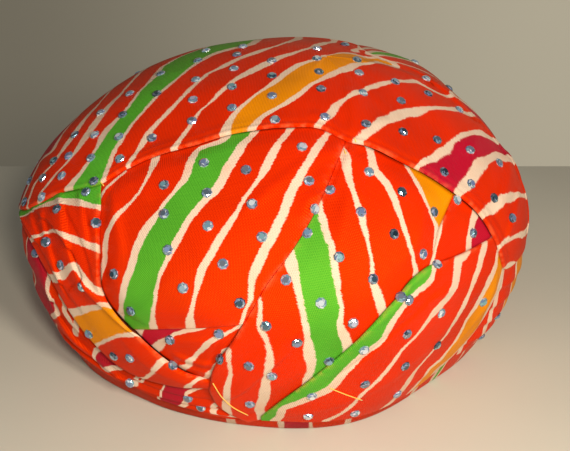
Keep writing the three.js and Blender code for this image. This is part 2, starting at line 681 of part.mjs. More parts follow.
function withStraightSides(cloth) {
  const { bottom, top, left, right } = cloth;
  const rows = cloth.rows ?? Math.max(left.border?.cells ?? 0, right.border?.cells ?? 0);
  if (!top.border) {
    const cells = bottom.border.cells;
    top.border = straight(left.border.at(1), right.border.at(1), cells);
  }
  if (!left.border) left.border = straight(bottom.border.at(0), top.border.at(0), rows);
  if (!right.border) right.border = straight(bottom.border.at(1), top.border.at(1), rows);
  return cloth;
}

// Colours of the tie-dyed cloth
const ORANGE = 0xe8380c;
const DEEP_ORANGE = 0xd02c0a;
const AMBER = 0xe8930f;
const MAGENTA = 0xb80a48;

const turban = new THREE.Group();

function addPiece(name, geometry, color) {
  const material = new THREE.MeshStandardMaterial({ color, roughness: 0.7, metalness: 0 });
  const mesh = new THREE.Mesh(geometry, material);
  mesh.name = name;
  turban.add(mesh);
}

const PIECE_COLORS = {
  left_front_panel: ORANGE,
  right_front_panel: ORANGE,
  right_side_fold: ORANGE,
  under_fold: MAGENTA,
  left_band: AMBER,
  right_band: ORANGE,
  back_drape: DEEP_ORANGE,
  back_band: ORANGE,
  left_rim_wrap: MAGENTA,
};

addPiece('inner_wraps', innerWraps(), DEEP_ORANGE);
addPiece('crown_drape', crownDrape(), ORANGE);
for (const [name, cloth] of Object.entries(CLOTHS)) {
  addPiece(name, clothPatch(withStraightSides(cloth)), PIECE_COLORS[name]);
}
addPiece('lower_rim_wrap', lowerRimWrap(), ORANGE);

export default turban;
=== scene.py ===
import math

import bpy
import numpy as np
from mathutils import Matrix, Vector
from mathutils.bvhtree import BVHTree


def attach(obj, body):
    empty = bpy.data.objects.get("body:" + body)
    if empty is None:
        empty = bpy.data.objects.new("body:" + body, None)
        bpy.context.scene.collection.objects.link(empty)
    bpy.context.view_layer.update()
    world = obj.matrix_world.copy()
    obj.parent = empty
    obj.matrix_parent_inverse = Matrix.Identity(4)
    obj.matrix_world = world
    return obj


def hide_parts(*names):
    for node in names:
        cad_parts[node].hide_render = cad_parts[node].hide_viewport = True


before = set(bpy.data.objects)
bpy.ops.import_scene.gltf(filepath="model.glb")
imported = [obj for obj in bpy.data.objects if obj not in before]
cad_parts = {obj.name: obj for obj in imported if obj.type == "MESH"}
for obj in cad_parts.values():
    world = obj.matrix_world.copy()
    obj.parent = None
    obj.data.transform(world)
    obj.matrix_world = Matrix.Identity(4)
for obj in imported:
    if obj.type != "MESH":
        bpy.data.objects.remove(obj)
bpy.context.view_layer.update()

# The turban's cloths lie on one smooth form. A place on it is an azimuth (0 at the front, 90 at +X) and a
# latitude (-90 at the floor, 0 at the widest girth, 90 at the top) in degrees, and a lift in mm.
# The form is worked out in mm, and each mesh is made in metres.
MM = 0.001

TOTAL_HEIGHT = 167
GIRTH_HEIGHT = 81
DOME_POWER = 1.8
FOOT_INSET = 0.145
FOOT_POWER = 1.85
TOP_SHIFT = (20, 10)
LEAN_POWER = 1.5
TILT = (-0.1, 0.05)
CENTRE = (-4.35, 9.84)
HIGHEST_LATITUDE = 89.5
GIRTH_RADII = np.array([126, 128, 125, 139, 140, 152, 146, 141, 150, 148, 151, 134], float)
PLAN_STEP = 30

# The head hollow and the ring that the turban rests on
HOLLOW_HALF = (82, 95)
HOLLOW_CENTRE = (0, 1)
HOLLOW_HEIGHT = 126
HOLLOW_POWER = 2.2
LIP_RADIUS = 5
HEEL_RADIUS = 3

# Lifts, the reach of an edge's own lift, and how far a cloth is tucked under its neighbour
CORE_LIFT = -5.7
EDGE_REACH = 14
CLOTH_THICKNESS = 1.5
THIN_EDGE = 0.3
TUCK_STEPS = (0.8, 2.0, 4.0)
TUCK_DROP = 2.0
TUCKED_LIFT = -0.4

# How finely the cloths are divided, in mm. A folded edge has close rows of its own.
LINE_STEPS = 400
CELL = 1.15
EDGE_ROWS = np.array([0.3, 0.65, 1.05, 1.5, 2.1, 2.9, 3.9, 5.2])

# How far from its edge a cloth is worn, and how far painted shade darkens it in the crease where it goes
# under another
WORN_REACH = 1.1
CREASE_SHADE_REACH = 1.1

# The camera: the photograph's frame, its focal length in pixels, distance and aim
PHOTO_WIDTH = 570
PHOTO_HEIGHT = 451
FOCAL_PIXELS = 880
SENSOR_MM = 36
CAMERA_DISTANCE = 530
CAMERA_ELEVATION = 28
CAMERA_AZIMUTH = 12
CAMERA_AIM = (4.05, -9.84, 65)


def shares(count):
    return np.linspace(0, 1, count)


def girth_radius(azimuth):
    place = np.mod(azimuth, 360) / PLAN_STEP
    start = np.floor(place).astype(int)
    share = place - start
    a, b, c, d = (GIRTH_RADII[(start + k) % len(GIRTH_RADII)] for k in (-1, 0, 1, 2))
    bend = (2 * a - 5 * b + 4 * c - d) * share**2 + (3 * b - a - 3 * c + d) * share**3
    return b + 0.5 * ((c - a) * share + bend)


def form_point(azimuth, latitude):
    azimuth, latitude = np.broadcast_arrays(np.asarray(azimuth, float), np.asarray(latitude, float))
    up = np.radians(np.clip(latitude, 0, 90))
    down = np.clip(-latitude / 90, 0, 1)
    above = latitude >= 0
    dome = np.maximum(np.cos(up), 0) ** (2 / DOME_POWER)
    share = np.where(above, dome, 1 - FOOT_INSET * down**FOOT_POWER)
    rise = (TOTAL_HEIGHT - GIRTH_HEIGHT) * np.sin(up) ** (2 / DOME_POWER)
    height = np.where(above, GIRTH_HEIGHT + rise, GIRTH_HEIGHT * (1 - down))
    radius = share * girth_radius(azimuth)
    x = radius * np.sin(np.radians(azimuth))
    y = -radius * np.cos(np.radians(azimuth))
    lean = np.clip((height - GIRTH_HEIGHT) / (TOTAL_HEIGHT - GIRTH_HEIGHT), 0, 1) ** LEAN_POWER
    tilt = (TILT[0] * x + TILT[1] * y) * np.clip(height / TOTAL_HEIGHT, 0, 1)
    x += TOP_SHIFT[0] * lean - CENTRE[0]
    y += TOP_SHIFT[1] * lean - CENTRE[1]
    return np.stack([x, y, height + tilt], -1)


def unit(vectors):
    return vectors / np.maximum(np.linalg.norm(vectors, axis=-1, keepdims=True), 1e-9)


def outward(azimuth, latitude):
    at = np.minimum(latitude, HIGHEST_LATITUDE - 1)
    side = form_point(azimuth + 0.5, at) - form_point(azimuth - 0.5, at)
    rise = form_point(azimuth, np.minimum(at + 0.5, 90)) - form_point(azimuth, np.maximum(at - 0.5, -90))
    normal = unit(np.cross(side, rise))
    normal[..., 2] = np.maximum(normal[..., 2], 0)
    return unit(normal)


def lifted(azimuth, latitude, lift):
    return form_point(azimuth, latitude) + outward(azimuth, latitude) * np.asarray(lift)[..., None]


def on_form(places):
    """Points on the form, for places as rows of azimuth and latitude."""
    return form_point(places[..., 0], places[..., 1])


def above_form(places, lift):
    return lifted(places[..., 0], places[..., 1], lift)


class Side:
    """A stretch of a border: its places against a count of cells."""

    def __init__(self, knots, places):
        self.knots = np.asarray(knots, float)
        self.places = np.asarray(places, float)

    def at(self, share):
        where = np.clip(share, 0, 1) * self.knots[-1]
        return np.stack([np.interp(where, self.knots, self.places[:, i]) for i in (0, 1)], -1)

    def backwards(self):
        return Side(self.knots[-1] - self.knots[::-1], self.places[::-1])

    def turned(self):
        return Side(self.knots, self.places + [360, 0])


def chain(*sides):
    """Several stretches end to end."""
    knots = []
    places = []
    start = 0
    for side in sides:
        knots.extend(side.knots + start + (1e-6 if knots else 0))
        places.extend(side.places)
        start += side.knots[-1]
    knots[-1] = start
    return Side(knots, places)


def curve_at(rows, where):
    """A centripetal Catmull-Rom line through a border's rows, at places counted in rows."""
    rows = np.asarray(rows, float)
    ends = np.vstack([2 * rows[0] - rows[1], rows, 2 * rows[-1] - rows[-2]])
    start = np.clip(np.floor(where).astype(int), 0, len(rows) - 2)
    share = (where - start)[:, None]
    a, b, c, d = (ends[start + k] for k in range(4))
    pairs = ((a, b), (b, c), (c, d))
    steps = [np.maximum(np.linalg.norm(q - p, axis=1), 1e-4)[:, None] ** 0.5 for p, q in pairs]
    first = (b - a) / steps[0] - (c - a) / (steps[0] + steps[1]) + (c - b) / steps[1]
    last = (c - b) / steps[1] - (d - b) / (steps[1] + steps[2]) + (d - c) / steps[2]
    first, last = first * steps[1], last * steps[1]
    bend = (3 * (c - b) - 2 * first - last) * share**2 + (2 * (b - c) + first + last) * share**3
    return b + first * share + bend


def stretch(rows, first, last, cells):
    """The border between two of its rows, evened out by its length on the form."""
    line = curve_at(rows, first + (last - first) * shares(LINE_STEPS))
    run = np.linalg.norm(np.diff(on_form(line), axis=0), axis=1)
    length = np.concatenate([[0], np.cumsum(run)])
    even = shares(LINE_STEPS) * length[-1]
    places = np.stack([np.interp(even, length, line[:, i]) for i in (0, 1)], -1)
    return Side(shares(LINE_STEPS) * cells, places)


def whole(rows, cells):
    return stretch(rows, 0, len(rows) - 1, cells)


# Borders between the cloths, in rows of azimuth and latitude
CROWN_EDGE = [
    (-70, 2), (-64.5, 6), (-58, 12.5), (-51, 23.3), (-43.6, 30.3), (-41.3, 35.8), (-37, 42.3),
    (-30.5, 47.3), (-23, 52.6), (-13, 56.1), (-1.5, 58.3), (12, 59.2), (24, 55.8), (33.5, 53.7), (44, 48.2),
    (53, 42.4), (61.5, 33.8), (66.9, 26), (70.5, 15.3), (73, 4.5), (76, -6), (84, -8.5), (92, -9),
    (93.5, 6), (94.5, 18), (96, 29), (98, 36), (101, 43), (105, 49), (110, 54), (116, 59), (122, 64),
    (127, 69), (134, 73), (148, 74), (163, 70), (180, 67), (200, 62), (216, 52), (225, 40), (232, 26),
    (238, 10), (243, -9), (248, -9.5), (259, -8), (270, -6), (281, -3), (290, 2),
]
LEFT_BAND_INNER = [
    (-43.6, 30.3), (-39.2, 25), (-35, 17.5), (-32, 10), (-29, -6.5), (-23.5, -20.5), (-19.5, -30),
    (-16, -37), (-12, -43), (-6, -46.5),
]
LEFT_BAND_OUTER = [
    (-70, 2), (-63, 5), (-56, 5.5), (-50.5, 2.5), (-47.3, -4), (-44.9, -13), (-41.5, -28.5), (-39.1, -38),
    (-35.6, -48), (-31.6, -55), (-26, -58), (-19.4, -58.2), (-13.7, -57), (-6.8, -54.5),
]
FRONT_SEAM = [
    (24, 55.8), (20.2, 49.8), (17.2, 43), (14, 34.5), (10.8, 26.5), (6.7, 16.5), (4.8, 9), (2.8, 1),
]
PANEL_FOOT = [(-23.5, -20.5), (-14.8, -12.5), (-6.4, -6), (2.8, 1)]
CROSSING_UPPER = [(2.8, 1), (-0.5, -15.5), (-3.1, -26), (-5.2, -38), (-6, -46.5)]
BAND_TIP = [(-6, -46.5), (-6.8, -54.5)]
CROSSING_LOWER = [(-6.8, -54.5), (-5.7, -68), (-1.8, -79), (1.5, -85)]
FRONT_HEEL = [(1.5, -85), (5.5, -80)]
RIGHT_BAND_TIP = [(5.5, -80), (5.5, -75.5)]
RIGHT_BAND_TOP = [
    (5.5, -75.5), (10.8, -57.5), (17.1, -38.5), (22.9, -21), (27.2, -9), (32.1, 4), (36.4, 10.2),
    (40.3, 14.8), (46.5, 17), (53.3, 16), (60, 15.3), (70.5, 15.3),
]
RIGHT_BAND_FOOT = [
    (5.5, -80), (11, -80), (21, -81), (33, -82), (44, -82), (55, -78), (64, -69), (69, -58), (72.5, -45),
    (75, -25), (76, -6),
]
SIDE_FOLD = [(46.5, 17), (49, 21.7), (51.3, 26), (56, 30), (61.5, 33.8)]
BACK_DRAPE_FOOT = [(92, -9), (120, -10), (150, -10), (180, -10), (210, -10), (243, -9)]
RIM_TOP = [
    (64, -69), (75, -71), (90, -74), (130, -76), (180, -76), (248, -75), (270, -74), (290, -72), (310, -73),
    (325, -77), (340, -80), (354, -82.5), (361.5, -85),
]
BACK_SPLIT = [(248, -75), (248, -9.5)]
RIM_FOOT_LATITUDE = -89


def crown_stretch(from_azimuth, to_azimuth, cells):
    azimuths = [row[0] for row in CROWN_EDGE]
    return stretch(CROWN_EDGE, azimuths.index(from_azimuth), azimuths.index(to_azimuth), cells)


crown_left_band = crown_stretch(-70, -43.6, 8)
crown_left_panel = crown_stretch(-43.6, 24, 12)
crown_right_panel = crown_stretch(24, 61.5, 8)
crown_side_fold = crown_stretch(61.5, 70.5, 3)
crown_right_band = crown_stretch(70.5, 76, 5)
crown_back_band = crown_stretch(76, 92, 3)
crown_hem = crown_stretch(92, 243, 20)
crown_back_end = crown_stretch(243, 248, 1)
crown_rim_wrap = crown_stretch(248, 290, 6)
left_band_panel = stretch(LEFT_BAND_INNER, 0, 5, 11)
left_band_fold = stretch(LEFT_BAND_INNER, 5, 9, 12)
left_band_outer = whole(LEFT_BAND_OUTER, 23)
front_seam = whole(FRONT_SEAM, 11)
panel_foot = whole(PANEL_FOOT, 12)
crossing_upper = whole(CROSSING_UPPER, 5)
band_tip = whole(BAND_TIP, 2)
crossing_lower = whole(CROSSING_LOWER, 4)
front_heel = whole(FRONT_HEEL, 1)
right_band_tip = whole(RIGHT_BAND_TIP, 1)
right_band_panel = stretch(RIGHT_BAND_TOP, 0, 8, 19)
right_band_side = stretch(RIGHT_BAND_TOP, 8, 11, 5)
right_band_foot = stretch(RIGHT_BAND_FOOT, 0, 6, 16)
right_band_end = stretch(RIGHT_BAND_FOOT, 6, 10, 8)
side_fold = whole(SIDE_FOLD, 3)
back_drape_foot = whole(BACK_DRAPE_FOOT, 20)
rim_back = stretch(RIM_TOP, 0, 5, 22)
rim_left = stretch(RIM_TOP, 5, 12, 28)
back_split = whole(BACK_SPLIT, 4)


def smooth(share):
    share = np.clip(share, 0, 1)
    return share * share * (3 - 2 * share)


def spaced_out(length, cell, fine_start, fine_end):
    """Shares along a length in mm: close together near a folded edge, and even elsewhere."""
    fine = EDGE_ROWS[EDGE_ROWS < length * 0.3]
    low = fine if fine_start else fine[:0]
    high = length - fine[::-1] if fine_end else fine[:0]
    start = low[-1] if len(low) else 0
    end = high[0] if len(high) else length
    middle = np.linspace(start, end, max(3, int((end - start) / cell)))
    inner = middle[1:-1] if len(low) else middle[:-1]
    ends = [] if len(low) == 0 else [0, *low]
    tail = [length] if len(high) == 0 else [*high, length]
    return np.unique(np.concatenate([ends, inner, tail])) / length


def run_lengths(points, axis):
    steps = np.linalg.norm(np.diff(points, axis=axis), axis=-1)
    first = np.zeros_like(np.take(steps, [0], axis=axis))
    return np.concatenate([first, np.cumsum(steps, axis=axis)], axis=axis)


def extended(grid, axis, at_end):
    """The grid of places with rows added past one side, for the part that is tucked under a neighbour."""
    take = (-1, -2) if at_end else (0, 1)
    edge, inner = (np.take(grid, k, axis=axis) for k in take)
    size = np.linalg.norm(on_form(edge) - on_form(inner), axis=-1)
    step = (edge - inner) / np.maximum(size, 0.05)[..., None]
    rows = [edge + step * reach for reach in TUCK_STEPS]
    rows = rows if at_end else rows[::-1]
    rows = np.stack(rows, axis=axis)
    return np.concatenate([grid, rows] if at_end else [rows, grid], axis=axis)


def edge_drop(distance, radius):
    inside = np.clip(radius - distance, 0, radius)
    return radius - np.sqrt(np.maximum(radius**2 - inside**2, 0))


def side_values(values, share):
    if len(values) == 1:
        return np.full(np.shape(share), float(values[0]))
    return np.interp(share, shares(len(values)), values)


def ridge(distance, rise, fall):
    """A soft fold across its crest: it rises over one width and falls over the other."""
    return np.exp(-((distance / np.where(distance < 0, rise, fall)) ** 2))


def fold_lift(folds, u, v, size_u, size_v):
    """Folds along straight lines of the cloth. Each row: from u, v to u, v, height, rise and fall in mm."""
    total = np.zeros_like(u)
    for u0, v0, u1, v1, height, rise, fall in folds:
        du, dv = (u1 - u0) * size_u, (v1 - v0) * size_v
        length = np.maximum(np.hypot(du, dv), 1e-6)
        pu, pv = (u - u0) * size_u, (v - v0) * size_v
        along = (pu * du + pv * dv) / length**2
        across = (pu * dv - pv * du) / length
        fade = smooth((along + 0.15) / 0.3) * smooth((1.15 - along) / 0.3)
        total += height * fade * ridge(across, rise, fall)
    return total


ROUGH_CELLS = 25
RIPPLE_WAVES = 9


def ripples(points, seed, height, wave):
    """Shallow unevenness of a soft cloth: a few long waves with seeded directions."""
    random = np.random.default_rng(seed)
    total = np.zeros(points.shape[:-1])
    for _ in range(RIPPLE_WAVES):
        direction = unit(random.normal(size=3))
        length = wave * random.uniform(0.6, 1.8)
        phase = points @ direction * 2 * math.pi / length + random.uniform(0, 2 * math.pi)
        total += np.sin(phase) * length / wave
    return total * height * 2 / RIPPLE_WAVES


def nearness(distance, reach):
    return np.exp(-np.clip(distance, 0, None) / reach)


def patch(bottom, top, left, right, across, along):
    """A grid of places between four borders, blended from all four."""
    u, v = np.meshgrid(across, along)
    u1, v1 = u[..., None], v[..., None]
    total = (1 - v1) * bottom.at(u) + v1 * top.at(u) + (1 - u1) * left.at(v) + u1 * right.at(v)
    total -= (1 - v1) * ((1 - u1) * bottom.at(0.0) + u1 * bottom.at(1.0))
    return total - v1 * ((1 - u1) * top.at(0.0) + u1 * top.at(1.0))


class Cloth:
    """A cloth between four sides. A side is (border, lifts, fold radii); radius 0 is tucked under."""

    def __init__(
        self, bottom, top, left, right, centre,
        folds=(), detail=None, seed=1, ripple=0.22, wave=26, shade=CREASE_SHADE_REACH, cell=CELL,
    ):
        sides = {"bottom": bottom, "top": top, "left": left, "right": right}
        over = {name: max(side[2]) > 0 for name, side in sides.items()}
        borders = [side[0] for side in sides.values()]
        rough = on_form(patch(*borders, shares(ROUGH_CELLS), shares(ROUGH_CELLS)))
        long_u = run_lengths(rough, 1)[:, -1].max()
        long_v = run_lengths(rough, 0)[-1].max()
        across = spaced_out(long_u, cell, over["left"], over["right"])
        along = spaced_out(long_v, cell, over["bottom"], over["top"])
        grid = patch(*borders, across, along)
        pad = [0 if over[name] else len(TUCK_STEPS) for name in sides]
        for side, rows_added in enumerate(pad):
            if rows_added:
                grid = extended(grid, side // 2, side % 2 == 1)
        base = on_form(grid)
        run_u = run_lengths(base, 1)
        run_v = run_lengths(base, 0)
        rows, columns = grid.shape[:2]
        from_left = run_u - run_u[:, [pad[2]]]
        from_right = run_u[:, [columns - 1 - pad[3]]] - run_u
        from_bottom = run_v - run_v[[pad[0]]]
        from_top = run_v[[rows - 1 - pad[1]]] - run_v
        size_u = np.maximum(from_left + from_right, 0.1)
        size_v = np.maximum(from_bottom + from_top, 0.1)
        u = np.pad(across, (pad[2], pad[3]), mode="edge")[None, :] + np.zeros((rows, 1))
        v = np.pad(along, (pad[0], pad[1]), mode="edge")[:, None] + np.zeros((1, columns))
        distances = {"left": from_left, "right": from_right, "bottom": from_bottom, "top": from_top}
        total = np.zeros_like(u)
        blended = np.zeros_like(u)
        drop = np.zeros_like(u)
        tuck = np.zeros_like(u)
        for name, distance in distances.items():
            _, lifts, radii = sides[name]
            share = v if name in ("left", "right") else u
            weight = smooth(1 - distance / EDGE_REACH)
            total += weight
            blended += weight * side_values(lifts, share)
            if over[name]:
                drop = np.maximum(drop, edge_drop(distance, np.maximum(side_values(radii, share), 0.01)))
            else:
                tuck = np.maximum(tuck, TUCK_DROP * np.clip(-distance / TUCK_STEPS[-1], 0, 1) ** 0.8)
        open_share = np.maximum(0, 1 - total)
        plain = (blended + open_share * centre) / (total + open_share)
        plain += fold_lift(folds, u, v, size_u, size_v)
        if detail:
            plain += detail(u, v)
        calm = smooth(np.minimum.reduce([np.abs(d) for d in distances.values()]) / 6)
        plain += ripples(base, seed, ripple, wave) * (0.35 + 0.65 * calm)
        self.places = grid
        self.sizes = (float(np.median(size_u)), float(np.median(size_v)))
        self.outer = above_form(grid, plain - drop - tuck)
        under = np.minimum(plain - CLOTH_THICKNESS, plain - drop - tuck - THIN_EDGE)
        self.inner = above_form(grid, np.maximum(under, CORE_LIFT + THIN_EDGE))
        # Worn folded edges, and painted shade in the creases along each side that goes under a neighbour
        self.edge = np.zeros_like(u)
        self.painted_crease_shade = np.zeros_like(u)
        for name, distance in distances.items():
            if over[name]:
                self.edge = np.maximum(self.edge, nearness(distance, WORN_REACH))
            else:
                self.painted_crease_shade = np.maximum(self.painted_crease_shade, nearness(distance, shade))
        self.weave = np.stack([from_left, from_bottom], -1)

    def mesh_data(self):
        rows, columns = self.outer.shape[:2]
        count = rows * columns
        a = (np.arange(rows - 1)[:, None] * columns + np.arange(columns - 1)[None, :]).ravel()
        top = np.stack([a, a + 1, a + columns + 1, a + columns], -1)
        rim = [*range(columns - 1), *((j + 1) * columns - 1 for j in range(rows - 1))]
        rim += [(rows - 1) * columns + i for i in range(columns - 1, 0, -1)]
        rim += [j * columns for j in range(rows - 1, 0, -1)]
        rim = np.array(rim)
        after = np.roll(rim, -1)
        wall = np.stack([rim + count, after + count, after, rim], -1)
        points = np.concatenate([self.outer.reshape(-1, 3), self.inner.reshape(-1, 3)])
        return points, np.concatenate([top, top[:, ::-1] + count, wall]), count


def ring_faces(rows, columns):
    """The faces between rings of points that close on themselves."""
    k = np.arange(columns)
    after = (k + 1) % columns
    low = (np.arange(rows - 1) * columns)[:, None]
    return np.stack([low + k, low + after, low + columns + after, low + columns + k], -1).reshape(-1, 4)


# The crown drape's ripples, the stitched groove of its hem and the turn of its threads
CROWN_FOLD_SPREAD = 24
CROWN_RIPPLE = 0.3
CROWN_WAVE = 34
HEM_DEPTH = 3.2
HEM_GROOVE = 0.35
HEM_GROOVE_WIDTH = 0.7
CROWN_WEAVE_TURN = 35


class Crown:
    """The crown drape: rings from its hem up to the top, closed underneath."""

    def __init__(self, columns, rows, centre, hem_lift, hem_radius, folds, seed):
        edge = chain(
            crown_left_band, crown_left_panel, crown_right_panel, crown_side_fold, crown_right_band,
            crown_back_band, crown_hem, crown_back_end, crown_rim_wrap,
        )
        hem = edge.at(np.arange(columns) / columns)
        azimuth_size, latitude_size = (
            np.linalg.norm(on_form(hem + step) - on_form(hem), axis=1) for step in ([1, 0], [0, 1])
        )
        ahead = np.roll(hem, -2, axis=0)
        behind = np.roll(hem, 2, axis=0)
        turn = np.mod(ahead[:, 0] - behind[:, 0] + 540, 360) - 180
        line = unit(np.stack([turn * azimuth_size, (ahead[:, 1] - behind[:, 1]) * latitude_size], -1))
        inward = np.stack([-line[:, 1] / azimuth_size, line[:, 0] / latitude_size], -1)
        steps = [0, *EDGE_ROWS]
        climb = shares(rows)[1:]
        rings = [hem + inward * step for step in steps]
        start = rings[-1]
        even = hem[0, 0] + 360 * np.arange(columns) / columns
        for share in climb:
            azimuth = start[:, 0] + (even - start[:, 0]) * share**3
            latitude = start[:, 1] + (HIGHEST_LATITUDE - start[:, 1]) * share
            rings.append(np.stack([azimuth, latitude], -1))
        grid = np.stack(rings)
        base = on_form(grid)
        distance = run_lengths(base, 0)
        plain = centre + (hem_lift - centre) * smooth(1 - distance / EDGE_REACH)
        for azimuth, latitude, width, height in folds:
            across = (np.mod(grid[..., 0] - azimuth + 180, 360) - 180) / width
            plain += height * np.exp(-(across**2) - ((grid[..., 1] - latitude) / CROWN_FOLD_SPREAD) ** 2)
        plain += ripples(base, seed, CROWN_RIPPLE, CROWN_WAVE) * smooth(distance / 8)
        plain -= HEM_GROOVE * np.exp(-(((distance - HEM_DEPTH) / HEM_GROOVE_WIDTH) ** 2))
        drop = edge_drop(distance, hem_radius)
        self.places = grid
        self.outer = above_form(grid, plain - drop)
        under = np.minimum(plain - CLOTH_THICKNESS, plain - drop - THIN_EDGE)
        self.inner = above_form(grid, under)
        self.edge = nearness(distance, WORN_REACH)
        # The crown drape has no painted crease shade
        self.painted_crease_shade = np.zeros_like(self.edge)
        from_top = distance[-1] - distance
        turn = np.radians(grid[..., 0] + CROWN_WEAVE_TURN)
        self.weave = np.stack([from_top * np.sin(turn), -from_top * np.cos(turn)], -1)

    def mesh_data(self):
        rows, columns = self.outer.shape[:2]
        count = rows * columns
        k = np.arange(columns)
        after = (k + 1) % columns
        ring = ring_faces(rows, columns)
        wall = np.stack([k + count, after + count, after, k], -1)
        last = (rows - 1) * columns + k
        cap = [list(last), list(last[::-1] + count)]
        points = np.concatenate([self.outer.reshape(-1, 3), self.inner.reshape(-1, 3)])
        return points, [*ring.tolist(), *(ring[:, ::-1] + count).tolist(), *wall.tolist(), *cap], count


def left_band_roll(u, v):
    """The left band swells into a roll towards the front, and lies proud of the wraps under it."""
    swell = np.clip((u - 0.3) / 0.4, 0, 1) * np.clip((1.06 - u) / 0.3, 0, 1)
    return 3.0 * swell * np.sin(math.pi * np.clip(v, 0, 1)) ** 0.7


def straight(first, last, cells):
    return Side([0, cells], [first, last])


def tucked(border, lift=TUCKED_LIFT):
    """A side that goes under its neighbour."""
    return border, [lift], [0]


